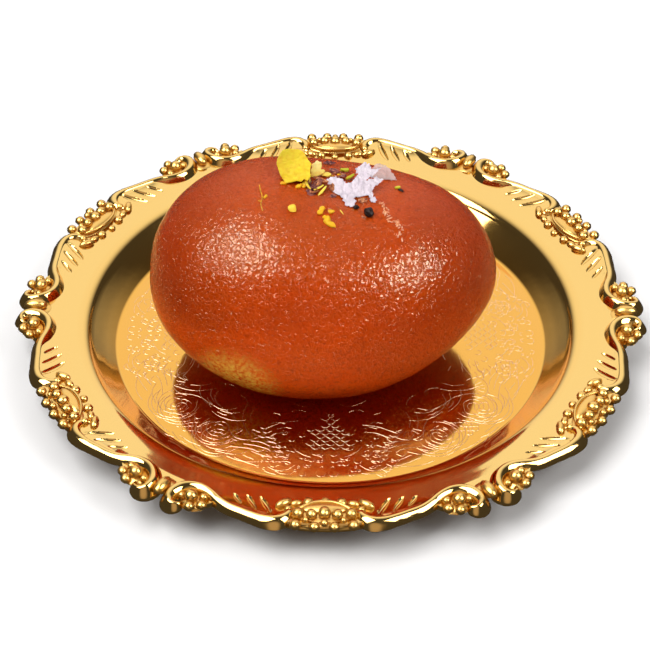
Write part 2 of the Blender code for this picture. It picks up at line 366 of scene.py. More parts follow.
@dataclass(frozen=True)
class GiltBrass(Finish):
    """Brass, polished and gilded: a mirror, paler on the brim, where the pale tint is painted sheen for
    the brim's brighter reflection.
    """

    gold: str = "F4B757"
    # pale: painted sheen, a tint that stands in for the brim's brighter reflection
    pale: str = "F8CE7C"
    ripple: float = 2.5             # millimetres from one ripple to the next
    polish: tuple[float, float] = (0.05, 0.11)      # roughness where it is most and least bright

    def fill(self, tree: bpy.types.NodeTree, shader: bpy.types.Node) -> None:
        """Add a gold mirror whose ripple and gloss vary a little."""
        place = add_node(tree, "TexCoord").outputs["Object"]
        cloud = add_node(tree, "TexNoise", {"Scale": 60.0, "Detail": 3.0}, {"Vector": place})
        flat = add_node(tree, "VectorMath", {"operation": "MULTIPLY", 1: (1.0, 1.0, 0.0)},
                        {0: place})
        out = add_node(tree, "VectorMath", {"operation": "LENGTH"},
                       {0: flat.outputs["Vector"]})
        # Painted sheen: the gilt turns paler from the well's edge out over the brim, standing in for the
        # brim's brighter reflection.
        wear_and_sheen_mask = add_node(tree, "MapRange", {"From Min": 43.5 * MM, "From Max": 51.0 * MM},
                          {"Value": out.outputs["Value"]})
        tint = add_node(tree, "MixRGB", {"Color1": colour(self.gold), "Color2": colour(self.pale)},
                        {"Fac": wear_and_sheen_mask.outputs["Result"]})
        gloss = add_node(tree, "MapRange", {"From Min": 0.3, "From Max": 0.7,
                                            "To Min": self.polish[0], "To Max": self.polish[1]},
                         {"Value": cloud.outputs["Fac"]})
        ripple = add_node(tree, "TexNoise", {"Scale": 1.0 / (self.ripple * MM), "Detail": 1.0},
                          {"Vector": place})
        bump = add_node(tree, "Bump", {"Strength": 0.05, "Distance": 0.0002},
                        {"Height": ripple.outputs["Fac"]})
        shader.inputs["Metallic"].default_value = 1.0
        tree.links.new(tint.outputs["Color"], shader.inputs["Base Color"])
        tree.links.new(gloss.outputs["Result"], shader.inputs["Roughness"])
        tree.links.new(bump.outputs["Normal"], shader.inputs["Normal"])


@dataclass(frozen=True)
class SyrupSoakedDough(Finish):
    """Milk dough fried brown and soaked: leathery, translucent, wet with syrup."""

    brown: str = "A62E00"
    amber: str = "D04400"
    crown_tone_and_sheen: str = "BE4E08"           # paler on its crown: partly its own colour, partly painted sheen of the light from behind
    glow: str = "F25400"            # lower down: painted light, standing in for the light the tray throws up
    dark: str = "6C1800"
    ends: str = "7E2402"            # darker towards its two ends
    crumb: str = "FFC644"           # partly crumb showing where the skin is thin, partly painted reflection of the gilt tray
    crumb_and_reflection_at: tuple[float, float, float] = (-17.4, -25.0, 10.2)
    crumb_and_reflection_reach: float = 10.5

    def fill(self, tree: bpy.types.NodeTree, shader: bpy.types.Node) -> None:
        """Add the uneven browning, the painted sheen and tray light, the golden patch and the crinkled
        wet skin.
        """
        place = add_node(tree, "TexCoord").outputs["Object"]
        broad = add_node(tree, "TexNoise", {"Scale": 70.0, "Detail": 4.0, "Roughness": 0.6},
                         {"Vector": place})
        sides = add_node(tree, "SeparateXYZ", None, {"Vector": place})
        across = add_node(tree, "Math", {"operation": "ABSOLUTE"}, {0: sides.outputs["X"]})
        endwise = add_node(tree, "MapRange", {"From Min": 13.0 * MM, "From Max": 28.0 * MM,
                                              "To Max": 0.55},
                           {"Value": across.outputs["Value"]})
        fried = add_node(tree, "MixRGB", {"Color1": colour(self.brown),
                                          "Color2": colour(self.amber)},
                         {"Fac": broad.outputs["Fac"]})
        # Partly painted sheen: the crown is mixed towards a paler tone, partly its own colour and partly
        # the light from behind glancing off the top.
        upper = add_node(tree, "MapRange", {"From Min": 33.0 * MM, "From Max": 40.0 * MM,
                                            "To Max": 0.5},
                         {"Value": sides.outputs["Z"]})
        crowned = add_node(tree, "MixRGB", {"Color2": colour(self.crown_tone_and_sheen)},
                           {"Fac": upper.outputs["Result"], "Color1": fried.outputs["Color"]})
        ended = add_node(tree, "MixRGB", {"Color2": colour(self.ends)},
                         {"Fac": endwise.outputs["Result"], "Color1": crowned.outputs["Color"]})
        # Painted light: the lower part is mixed towards a bright orange that stands in for the light
        # thrown up by the gilt tray.
        under = add_node(tree, "MapRange", {"From Min": 25.0 * MM, "From Max": 11.0 * MM,
                                            "To Max": 0.85},
                         {"Value": sides.outputs["Z"]})
        tray_light_painted = add_node(tree, "MixRGB", {"Color2": colour(self.glow)},
                           {"Fac": under.outputs["Result"], "Color1": ended.outputs["Color"]})
        speck = add_node(tree, "TexNoise", {"Scale": 1300.0, "Detail": 3.0, "Roughness": 0.7},
                         {"Vector": place})
        pores = add_node(tree, "MapRange", {"From Min": 0.5, "From Max": 0.72, "To Max": 0.4},
                         {"Value": speck.outputs["Fac"]})
        pitted = add_node(tree, "MixRGB", {"Color2": colour(self.dark)},
                          {"Fac": pores.outputs["Result"], "Color1": tray_light_painted.outputs["Color"]})
        # Partly painted reflection: a golden patch low on the front left, partly crumb showing through
        # thin skin, partly the gilt tray's reflection painted in.
        away = add_node(tree, "VectorMath", {"operation": "DISTANCE",
                                             1: [side * MM for side in self.crumb_and_reflection_at]},
                        {0: place})
        patch = add_node(tree, "MapRange", {"From Min": 0.35 * self.crumb_and_reflection_reach * MM,
                                            "From Max": self.crumb_and_reflection_reach * MM,
                                            "To Min": 0.85, "To Max": 0.0,
                                            "interpolation_type": "SMOOTHSTEP"},
                         {"Value": away.outputs["Value"]})
        patch_breakup = add_node(tree, "MapRange", {"From Min": 0.35, "From Max": 0.62},
                          {"Value": speck.outputs["Fac"]})
        share = add_node(tree, "Math", {"operation": "MULTIPLY"},
                         {0: patch.outputs["Result"], 1: patch_breakup.outputs["Result"]})
        skin = add_node(tree, "MixRGB", {"Color2": colour(self.crumb)},
                        {"Fac": share.outputs["Value"], "Color1": pitted.outputs["Color"]})
        crinkle = add_node(tree, "TexNoise", {"Scale": 1200.0, "Detail": 1.0, "Roughness": 0.5},
                           {"Vector": place})
        pulled = add_node(tree, "VectorMath", {"operation": "SCALE", "Scale": 0.0009},
                          {0: crinkle.outputs["Color"]})
        warped = add_node(tree, "VectorMath", {"operation": "ADD"},
                          {0: place, 1: pulled.outputs["Vector"]})
        plates = add_node(tree, "TexVoronoi", {"feature": "DISTANCE_TO_EDGE", "Scale": 1250.0},
                          {"Vector": warped.outputs["Vector"]})
        creases = add_node(tree, "MapRange", {"From Max": 0.12, "To Max": 0.35,
                                              "interpolation_type": "SMOOTHSTEP"},
                           {"Value": plates.outputs["Distance"]})
        rough = add_node(tree, "Math", {"operation": "MULTIPLY_ADD", 1: 0.8},
                         {0: crinkle.outputs["Fac"], 2: creases.outputs["Result"]})
        bump = add_node(tree, "Bump", {"Strength": 1.0, "Distance": 0.0003},
                        {"Height": rough.outputs["Value"]})
        syrup = add_node(tree, "MapRange", {"From Min": 12.0 * MM, "From Max": 21.0 * MM,
                                            "To Min": 0.2, "To Max": 0.06},
                         {"Value": sides.outputs["Z"]})
        for name, value in (("IOR", 1.22), ("Specular Tint", (0.95, 1.0, 0.68, 1.0)),
                            ("Subsurface Weight", 0.1),
                            ("Subsurface Radius", (0.003, 0.0008, 0.0002)),
                            ("Subsurface Scale", 0.5)):
            shader.inputs[name].default_value = value
        tree.links.new(syrup.outputs["Result"], shader.inputs["Roughness"])
        tree.links.new(skin.outputs["Color"], shader.inputs["Base Color"])
        tree.links.new(bump.outputs["Normal"], shader.inputs["Normal"])


@dataclass(frozen=True)
class Kernel(Finish):
    """Chopped pistachio kernel: matt, waxy, yellow inside and greener at its rind."""

    inside: str = "FCDE30"
    rind: str = "B4A016"
    shade: str = "E09A18"
    rind_at: tuple[float, float, float] = (-11.0, 2.0, 47.0)
    rind_reach: float = 7.5

    def fill(self, tree: bpy.types.NodeTree, shader: bpy.types.Node) -> None:
        """Add the change from rind to kernel and the grain of the cut."""
        place = add_node(tree, "TexCoord").outputs["Object"]
        grain = add_node(tree, "TexNoise", {"Scale": 700.0, "Detail": 4.0, "Roughness": 0.65},
                         {"Vector": place})
        away = add_node(tree, "VectorMath", {"operation": "DISTANCE",
                                             1: [side * MM for side in self.rind_at]},
                        {0: place})
        near = add_node(tree, "MapRange", {"From Max": self.rind_reach * MM,
                                           "To Min": 0.9, "To Max": 0.0},
                        {"Value": away.outputs["Value"]})
        green = add_node(tree, "MixRGB", {"Color1": colour(self.inside),
                                          "Color2": colour(self.rind)},
                         {"Fac": near.outputs["Result"]})
        low = add_node(tree, "MapRange", {"From Min": 0.45, "From Max": 0.75, "To Max": 0.55},
                       {"Value": grain.outputs["Fac"]})
        mixed = add_node(tree, "MixRGB", {"Color2": colour(self.shade)},
                         {"Fac": low.outputs["Result"], "Color1": green.outputs["Color"]})
        bump = add_node(tree, "Bump", {"Strength": 0.5, "Distance": 0.0002},
                        {"Height": grain.outputs["Fac"]})
        for name, value in (("Roughness", 0.55), ("IOR", 1.3), ("Subsurface Weight", 0.2),
                            ("Subsurface Radius", (0.001, 0.0008, 0.0002)),
                            ("Subsurface Scale", 0.5)):
            shader.inputs[name].default_value = value
        tree.links.new(mixed.outputs["Color"], shader.inputs["Base Color"])
        tree.links.new(bump.outputs["Normal"], shader.inputs["Normal"])


@dataclass(frozen=True)
class PaperySkin(Finish):
    """Pistachio seed coat: a dry purple-brown paper, tan where it is worn thin."""

    purple: str = "6E3B45"
    tan: str = "C79063"
    dark: str = "3A1418"
    grain: float = 0.5

    def fill(self, tree: bpy.types.NodeTree, shader: bpy.types.Node) -> None:
        """Add veins and worn places to the paper."""
        place = add_node(tree, "TexCoord").outputs["Object"]
        veins = add_node(tree, "TexNoise", {"Scale": 1.0 / (self.grain * MM), "Detail": 3.0},
                         {"Vector": place})
        wear_and_sheen_mask = add_node(tree, "MapRange", {"From Min": 0.52, "From Max": 0.66},
                          {"Value": veins.outputs["Fac"]})
        deep = add_node(tree, "MapRange", {"From Min": 0.5, "From Max": 0.34},
                        {"Value": veins.outputs["Fac"]})
        paper = add_node(tree, "MixRGB", {"Color1": colour(self.purple),
                                          "Color2": colour(self.tan)},
                         {"Fac": wear_and_sheen_mask.outputs["Result"]})
        mixed = add_node(tree, "MixRGB", {"Color2": colour(self.dark)},
                         {"Fac": deep.outputs["Result"], "Color1": paper.outputs["Color"]})
        bump = add_node(tree, "Bump", {"Strength": 0.4, "Distance": 0.0001},
                        {"Height": veins.outputs["Fac"]})
        shader.inputs["Roughness"].default_value = 0.45
        shader.inputs["IOR"].default_value = 1.3
        tree.links.new(mixed.outputs["Color"], shader.inputs["Base Color"])
        tree.links.new(bump.outputs["Normal"], shader.inputs["Normal"])


@dataclass(frozen=True)
class BeatenSilver(Finish):
    """Edible silver beaten to a leaf: crumpled so finely that it scatters light as white."""

    white: str = "F4EBF0"
    lilac: str = "C6B4C4"
    crumple: float = 0.8
    cover: float = 1.0              # a thinner leaf lets what is under it show

    def fill(self, tree: bpy.types.NodeTree, shader: bpy.types.Node) -> None:
        """Add a soft metal whose fine creases catch every light."""
        place = add_node(tree, "TexCoord").outputs["Object"]
        creases = add_node(tree, "TexNoise", {"Scale": 1.0 / (self.crumple * MM),
                                              "Detail": 5.0, "Roughness": 0.7},
                           {"Vector": place})
        tint = add_node(tree, "MixRGB", {"Color1": colour(self.white),
                                         "Color2": colour(self.lilac)},
                        {"Fac": creases.outputs["Fac"]})
        bump = add_node(tree, "Bump", {"Strength": 0.9, "Distance": 0.0004},
                        {"Height": creases.outputs["Fac"]})
        shader.inputs["Metallic"].default_value = 0.12
        shader.inputs["Roughness"].default_value = 0.45
        shader.inputs["Alpha"].default_value = self.cover
        tree.links.new(tint.outputs["Color"], shader.inputs["Base Color"])
        tree.links.new(bump.outputs["Normal"], shader.inputs["Normal"])


@dataclass(frozen=True)
class SeedCoat(Finish):
    """Cardamom seed: a hard, dark, ribbed coat with a dull gloss."""

    black: str = "060303"
    brown: str = "331A12"

    def fill(self, tree: bpy.types.NodeTree, shader: bpy.types.Node) -> None:
        """Add mottled near-black with a fine grain."""
        place = add_node(tree, "TexCoord").outputs["Object"]
        mottle = add_node(tree, "TexNoise", {"Scale": 1800.0, "Detail": 3.0}, {"Vector": place})
        tint = add_node(tree, "MixRGB", {"Color1": colour(self.black),
                                         "Color2": colour(self.brown)},
                        {"Fac": mottle.outputs["Fac"]})
        bump = add_node(tree, "Bump", {"Strength": 0.5, "Distance": 0.0001},
                        {"Height": mottle.outputs["Fac"]})
        shader.inputs["Roughness"].default_value = 0.22
        shader.inputs["IOR"].default_value = 1.3
        tree.links.new(tint.outputs["Color"], shader.inputs["Base Color"])
        tree.links.new(bump.outputs["Normal"], shader.inputs["Normal"])


GILT = GiltBrass("polished_gilt_brass")
CAST_GILT = GiltBrass("gilding_on_the_rim", "F2B656", "F6C670", polish=(0.24, 0.32))
WORN_GILT = GiltBrass("gilding_worn_pale", "FFCEA6", "FFCEA6", polish=(0.2, 0.28))
DOUGH = SyrupSoakedDough("syrup_soaked_milk_dough")
DOUGH_CRUMB = PaperySkin("syrup_dried_dough_crumb", "E89A66", "F6CCA6", "B4521C", 0.3)
KERNEL = Kernel("chopped_pistachio_kernel")
CREAM_KERNEL = Kernel("pale_pistachio_shaving", "F8DC50", "FFF4C0", "E89A28", (-3.0, 4.0, 44.0), 5.5)
GREEN_KERNEL = Kernel("green_pistachio_shaving", "CCCA20", "96A812", "B88410", (3.0, 3.0, 41.0), 3.0)
CRUMB_KERNEL = Kernel("pistachio_crumb", "F8BE1A", "FBE24A", "E58E10", (-7.0, -9.9, 41.0), 4.0)
SEED_SKIN = PaperySkin("papery_pistachio_skin", "7C3D3C", "C08058")
DRY_FLAKE = PaperySkin("dry_skin_flake", "B4683C", "E0A070", "5E2018")
SILVER = BeatenSilver("beaten_silver_leaf")
THIN_SILVER = BeatenSilver("thin_silver_flake", "F0DCD8", "DCB8B0", 0.9, 0.5)
SEED_COAT = SeedCoat("cardamom_seed_coat")
SAFFRON = PaperySkin("dried_saffron_thread", "E8A81C", "F4CC4A", "B46A10", 0.4)


# ------------------------------------------------------------------ the tray

@dataclass
class TraySheet:
    """The tray's turned sheet: flat well, wall with a crease, brim pressed with flutes."""

    rim_height: float = 8.3         # level of the rim's bars and beads, millimetres
    sheet: float = 1.4
    top: tuple[tuple[float, float], ...] = (
        (0.0, 1.4), (21.0, 1.4), (42.5, 1.4), (42.85, 1.29), (43.2, 1.34), (43.6, 1.66),
        (45.0, 2.72), (46.2, 3.72), (47.4, 4.74), (48.1, 5.36), (48.3, 5.58), (48.5, 5.86),
        (48.8, 6.14), (49.2, 6.43), (49.8, 6.72), (50.5, 6.94), (51.4, 7.12), (52.4, 7.25))
    brim_from: float = 53.2
    brim_to: float = 58.6
    brim_rise: tuple[float, float] = (7.34, 8.1)
    brim_steps: int = 14
    turns: int = 1080
    # Flutes beside each bar: degrees from the scroll's axis, middle, length, width, depth
    flutes: tuple[tuple[float, float, float, float, float], ...] = (
        (13.6, 56.3, 3.0, 1.15, 0.36), (16.4, 56.3, 3.9, 1.25, 0.42),
        (19.2, 56.4, 4.5, 1.3, 0.46))
    swell: float = 0.4              # rise of the brim to meet a bar, millimetres
    flute_slant: float = -0.7
    fluted: tuple[float, float] = (12.3, 20.4)  # degrees where the flutes need fine mesh
    # Edge of the sheet: distance along the rim from a scroll's axis, and reach outwards
    edge: tuple[tuple[float, float], ...] = (
        (0.0, 58.6), (3.0, 59.6), (7.0, 59.9), (9.5, 59.2), (11.0, 57.9), (16.0, 58.7),
        (21.5, 59.7), (25.0, 60.2), (32.0, 60.2))

    def outline(self) -> list[Vector]:
        """Return the sheet's section from the axis over the brim and back underneath."""
        upper = [Vector((out, 0.0, up)) for out, up in self.top]
        for step in range(self.brim_steps + 1):
            share = step / self.brim_steps
            out = self.brim_from + share * (self.brim_to - self.brim_from)
            up = self.brim_rise[0] + share * (self.brim_rise[1] - self.brim_rise[0])
            upper.append(Vector((out, 0.0, up)))
        lip = [Vector((58.75, 0.0, 7.8)), Vector((58.7, 0.0, 7.0)), Vector((58.2, 0.0, 6.75))]
        under = [Vector((out, 0.0, up)) for out, up in
                 ((53.0, 5.95), (50.0, 5.3), (48.6, 4.3), (46.4, 2.2), (44.3, 0.3),
                  (43.2, 0.0), (41.8, 0.0), (41.4, 0.12), (20.0, 0.12), (0.0, 0.12))]
        return [point * MM for point in upper + lip + under]

    def reach(self, along: float) -> float:
        """Return the sheet's edge radius at a distance along the rim from a scroll."""
        for (start, low), (end, high) in zip(self.edge, self.edge[1:]):
            if along <= end:
                return low + (high - low) * (along - start) / (end - start)
        return self.edge[-1][1]

    def pressed(self, place: Vector) -> Vector:
        """Move a point of the turned sheet to where the press leaves it.

        Args:
            place: The point, in metres.

        Returns:
            The point after the rim's outline and flutes are pressed.
        """
        out = math.hypot(place.x, place.y) / MM
        if out < self.brim_from - 1.0:
            return place
        angle = math.atan2(place.y, place.x)
        turn = (angle + SECTOR / 2) % SECTOR - SECTOR / 2
        side = abs(math.degrees(turn))
        share = max(0.0, (out - 55.5) / (self.brim_to - 55.5))
        wide = out + share * (self.reach(abs(turn) * out) - self.brim_to)
        drop = 0.0
        for at, middle, length, width, depth in self.flutes:
            along = math.radians(side - at) * out + self.flute_slant * (out - middle)
            inside = 1.0 - (2.0 * (out - middle) / length) ** 2 - (2.0 * along / width) ** 2
            drop = max(drop, depth * max(0.0, inside) ** 0.4)
        hook = max(0.0, 1.0 - (math.radians(side) * out / 10.0) ** 4) * share
        along = abs(turn) * out
        barred = min(1.0, max(0.0, (along - 10.0) / 3.0), max(0.0, (24.0 - along) / 2.0))
        rise = self.swell * barred * min(1.0, share / 0.8) ** 2 - 0.5 * hook - drop
        scale = wide / out
        return Vector((place.x * scale, place.y * scale, place.z + rise * MM))

    def build(self) -> bpy.types.Object:
        """Turn the section, press the rim and finish the sheet."""
        sheet = drawn("dish_sheet", [self.outline()], curved=False)
        with edit_mode(sheet):
            bpy.ops.mesh.spin(steps=self.turns, angle=math.tau, center=(0, 0, 0),
                              axis=(0, 0, 1))
            bpy.ops.mesh.select_all(action="SELECT")
            bpy.ops.mesh.remove_doubles(threshold=0.004 * MM)
            bpy.ops.mesh.normals_make_consistent(inside=False)

        def in_fluted_band(face: bmesh.types.BMFace) -> bool:
            """Tell whether a face is on the brim where the flutes are pressed."""
            spot = face.calc_center_median()
            turn = (math.atan2(spot.y, spot.x) + SECTOR / 2) % SECTOR - SECTOR / 2
            low, high = self.fluted
            return (54.0 < math.hypot(spot.x, spot.y) / MM < 58.2 and face.normal.z > 0.0
                    and low < abs(math.degrees(turn)) < high)

        with edit_mode(sheet, in_fluted_band, "FACE"):
            bpy.ops.mesh.subdivide(number_cuts=2)
        for vert in sheet.data.vertices:
            vert.co = self.pressed(vert.co)
        settle(sheet, smooth=38.0, merge=0.001)
        return dressed(sheet, GILT, Slot.GILT, "dish")


def on_rim(axis: float, out: float, along: float, up: float = 0.0) -> Vector:
    """Return a point of the rim.

    Args:
        axis: Angle of the ornament's axis.
        out: Distance from the tray's axis, in millimetres.
        along: Distance along the rim from the ornament's axis, in millimetres.
        up: Height above the middle of the rim's bars, in millimetres.

    Returns:
        The point, in metres.
    """
    angle = axis + along / out
    level = TraySheet.rim_height + up
    return Vector((out * math.cos(angle), out * math.sin(angle), level)) * MM


@dataclass
class Lump:
    """One bead, bud or lobe of the cast relief, marked from its ornament's axis."""

    out: float
    along: float
    up: float
    size: tuple[float, float, float]    # half sizes out, along and up
    turn: float = 0.0                   # degrees, from straight out

    def build(self, axis: float, rounds: int = 10) -> bpy.types.Object:
        """Shape a ball into the lump: its foot is drawn in and its top kept full.

        Args:
            axis: Angle of the ornament's axis.
            rounds: How many sides the ball has.

        Returns:
            The mesh object.
        """
        ball = added("lump", bpy.ops.mesh.primitive_uv_sphere_add, segments=rounds,
                     ring_count=rounds // 2 + 1, radius=1.0)
        with edit_mode(ball, lambda vert: vert.co.z < -0.3):
            bpy.ops.transform.resize(value=(0.85, 0.85, 1.0))
        lie = Matrix.Rotation(axis + self.along / self.out + math.radians(self.turn), 4, "Z")
        half = Matrix.Diagonal((*(side * MM for side in self.size), 1.0))
        spot = Matrix.Translation(on_rim(axis, self.out, self.along, self.up))
        ball.data.transform(spot @ lie @ half)
        return ball


@dataclass
class RimBars:
    """Polished bars with a bevelled outer face, each running on into a hooked scroll."""

    route: tuple[tuple[float, float, float, float], ...] = (
        # out, along, up, share of the full section
        (56.0, 21.7, -0.75, 0.3), (56.5, 22.6, -0.45, 0.65), (57.5, 23.35, -0.2, 0.95),
        (58.8, 23.35, -0.1, 1.15), (59.6, 22.4, -0.1, 1.22), (59.75, 20.6, -0.15, 1.12),
        (59.35, 18.2, -0.2, 1.03), (58.8, 15.6, -0.2, 1.0), (58.3, 13.0, -0.15, 1.0),
        (57.6, 10.9, 0.0, 1.0), (56.7, 9.0, 0.15, 1.0), (56.1, 7.1, 0.25, 1.02),
        (56.1, 5.1, 0.32, 1.05), (56.95, 3.4, 0.36, 1.1), (58.5, 2.3, 0.32, 1.12),
        (60.2, 2.0, 0.18, 1.1), (61.6, 2.6, 0.0, 1.0), (62.1, 3.8, -0.15, 0.85),
        (61.6, 4.9, -0.25, 0.6), (60.8, 5.2, -0.35, 0.25))
    section: tuple[tuple[float, float], ...] = (
        (-1.75, -0.9), (-1.45, -0.3), (-1.1, 0.14), (-0.75, 0.44), (-0.35, 0.62), (0.0, 0.62),
        (0.28, 0.42), (0.62, -0.12), (0.98, -0.72), (1.3, -1.34), (1.48, -1.8), (1.4, -2.1),
        (1.0, -2.25), (0.2, -2.1), (-1.0, -1.8))

    def build(self) -> bpy.types.Object:
        """Draw one bar with its scroll, then copy it round the rim."""
        line = [on_rim(0.0, out, along, up) for out, along, up, _ in self.route]
        half = drawn("bar", [line], widths=[step[3] for step in self.route],
                     section=[Vector((out, up)) * MM for out, up in self.section], steps=6)
        whole = joined("dish_rim_bars", round_the_rim(half, 0.0))
        settle(whole, smooth=45.0)
        return dressed(whole, GILT, Slot.GILT)


def round_the_rim(half: bpy.types.Object, axis: float, mirrored: bool = True
                  ) -> list[bpy.types.Object]:
    """Copy one half of an ornament to its mirror place and round the six sectors.

    Args:
        half: The piece, marked out from an axis along +X. It is used up.
        axis: Angle of the first ornament's axis.
        mirrored: Whether the other half is a mirror image; if not it is left out.

    Returns:
        The copies.
    """
    copies = []
    for number in range(SECTORS):
        turn = Matrix.Rotation(axis + number * SECTOR, 4, "Z")
        copies.append(copied(half, turn))
        if mirrored:
            copies.append(copied(half, turn @ Matrix.Diagonal((1.0, -1.0, 1.0, 1.0))))
    bpy.data.objects.remove(half, do_unlink=True)
    return copies


@dataclass
class ScrollGroup:
    """What fills a pair of scrolls: balls in the crooks, small beads, a long bud."""

    balls: tuple[Lump, ...] = (
        Lump(59.3, 6.1, 0.35, (1.35, 1.4, 1.3)), Lump(61.4, 7.0, -0.2, (1.05, 1.05, 1.0)),
        Lump(60.2, 8.7, -0.3, (1.0, 1.05, 0.95)), Lump(58.3, 8.0, -0.1, (0.8, 0.85, 0.75)),
        Lump(59.4, 4.2, -0.2, (0.7, 0.8, 0.7)), Lump(59.4, 6.6, -1.1, (2.3, 2.7, 0.9)))
    middle: tuple[Lump, ...] = (
        Lump(59.3, 0.0, 0.2, (2.4, 1.2, 1.2)), Lump(58.0, 0.0, -1.1, (2.2, 2.6, 0.8)))

    def build(self) -> list[bpy.types.Object]:
        """Shape one set of lumps and copy it to the six pairs of scrolls."""
        half = joined("half", [lump.build(0.0) for lump in self.balls])
        centre = joined("centre", [lump.build(0.0, 12) for lump in self.middle])
        return round_the_rim(half, 0.0) + round_the_rim(centre, 0.0, mirrored=False)


@dataclass
class Cartouche:
    """A cluster between the bars: a flower under a shell hood, ringed by beads."""

    beads: tuple[Lump, ...] = (
        Lump(60.95, 1.8, -0.4, (1.05, 1.05, 1.0)), Lump(60.7, 5.25, -0.35, (1.1, 1.1, 1.05)),
        Lump(58.5, 2.35, 0.4, (1.15, 1.05, 1.0), -25.0), Lump(58.2, 4.8, 0.2, (1.15, 1.1, 1.0)),
        Lump(59.5, 3.4, -0.1, (0.6, 0.6, 0.6)), Lump(57.0, 6.6, -0.3, (0.9, 0.8, 0.8)),
        Lump(54.5, 3.0, -0.65, (1.05, 1.0, 0.8)), Lump(55.0, 5.2, -0.6, (0.75, 1.2, 0.65), -20.0),
        Lump(55.5, 7.5, -0.4, (0.85, 1.75, 0.85), -40.0))
    middle: tuple[Lump, ...] = (
        Lump(58.2, 0.0, 0.6, (1.3, 1.15, 1.05)), Lump(60.3, 0.0, 0.0, (0.75, 0.7, 0.75)),
        Lump(54.0, 0.0, -0.75, (0.85, 0.8, 0.65)), Lump(56.7, 0.0, -0.2, (1.5, 4.3, 0.95)),
        Lump(57.9, 0.0, -1.0, (3.0, 7.6, 1.0)))
    hood: tuple[tuple[float, float, float], ...] = (
        (58.9, 5.7, -0.25), (57.3, 5.0, -0.05), (56.1, 3.5, 0.2), (55.4, 1.8, 0.33),
        (55.2, 0.0, 0.38), (55.4, -1.8, 0.33), (56.1, -3.5, 0.2), (57.3, -5.0, -0.05),
        (58.9, -5.7, -0.25))
    lip: tuple[tuple[float, float, float], ...] = (
        (59.0, 9.2, -1.3), (59.8, 6.6, -1.5), (60.2, 3.3, -1.5), (60.3, 0.0, -1.5),
        (60.2, -3.3, -1.5), (59.8, -6.6, -1.5), (59.0, -9.2, -1.3))

    def build(self) -> list[bpy.types.Object]:
        """Shape one cluster and copy it to the six cartouches."""
        half = joined("half", [lump.build(0.0) for lump in self.beads])
        centre = [lump.build(0.0, 16) for lump in self.middle]
        for route, thick in ((self.hood, 0.34), (self.lip, 0.55)):
            centre.append(drawn("line", [[on_rim(0.0, *place) for place in route]],
                                thick=thick * MM, rounds=2, steps=4))
        at = SECTOR / 2
        return round_the_rim(half, at) + round_the_rim(joined("centre", centre), at, False)


# ------------------------------------------------------------------ the well's engraving

Line = list[tuple[float, float]]


def arc(across: float, down: float, radius: float, start: float, end: float,
        end_radius: float | None = None) -> Line:
    """Return an arc or a spiral as points in the well, in millimetres.

    Args:
        across: Middle's X.
        down: Middle's Y.
        radius: Radius at the start.
        start: First angle in degrees.
        end: Last angle in degrees.
        end_radius: Radius at the end, if it changes.

    Returns:
        The points.
    """
    final = radius if end_radius is None else end_radius
    steps = max(3, math.ceil(abs(end - start) / 32.0))
    points = []
    for step in range(steps + 1):
        share = step / steps
        turn = math.radians(start + share * (end - start))
        reach = radius + share * (final - radius)
        points.append((across + reach * math.cos(turn), down + reach * math.sin(turn)))
    return points


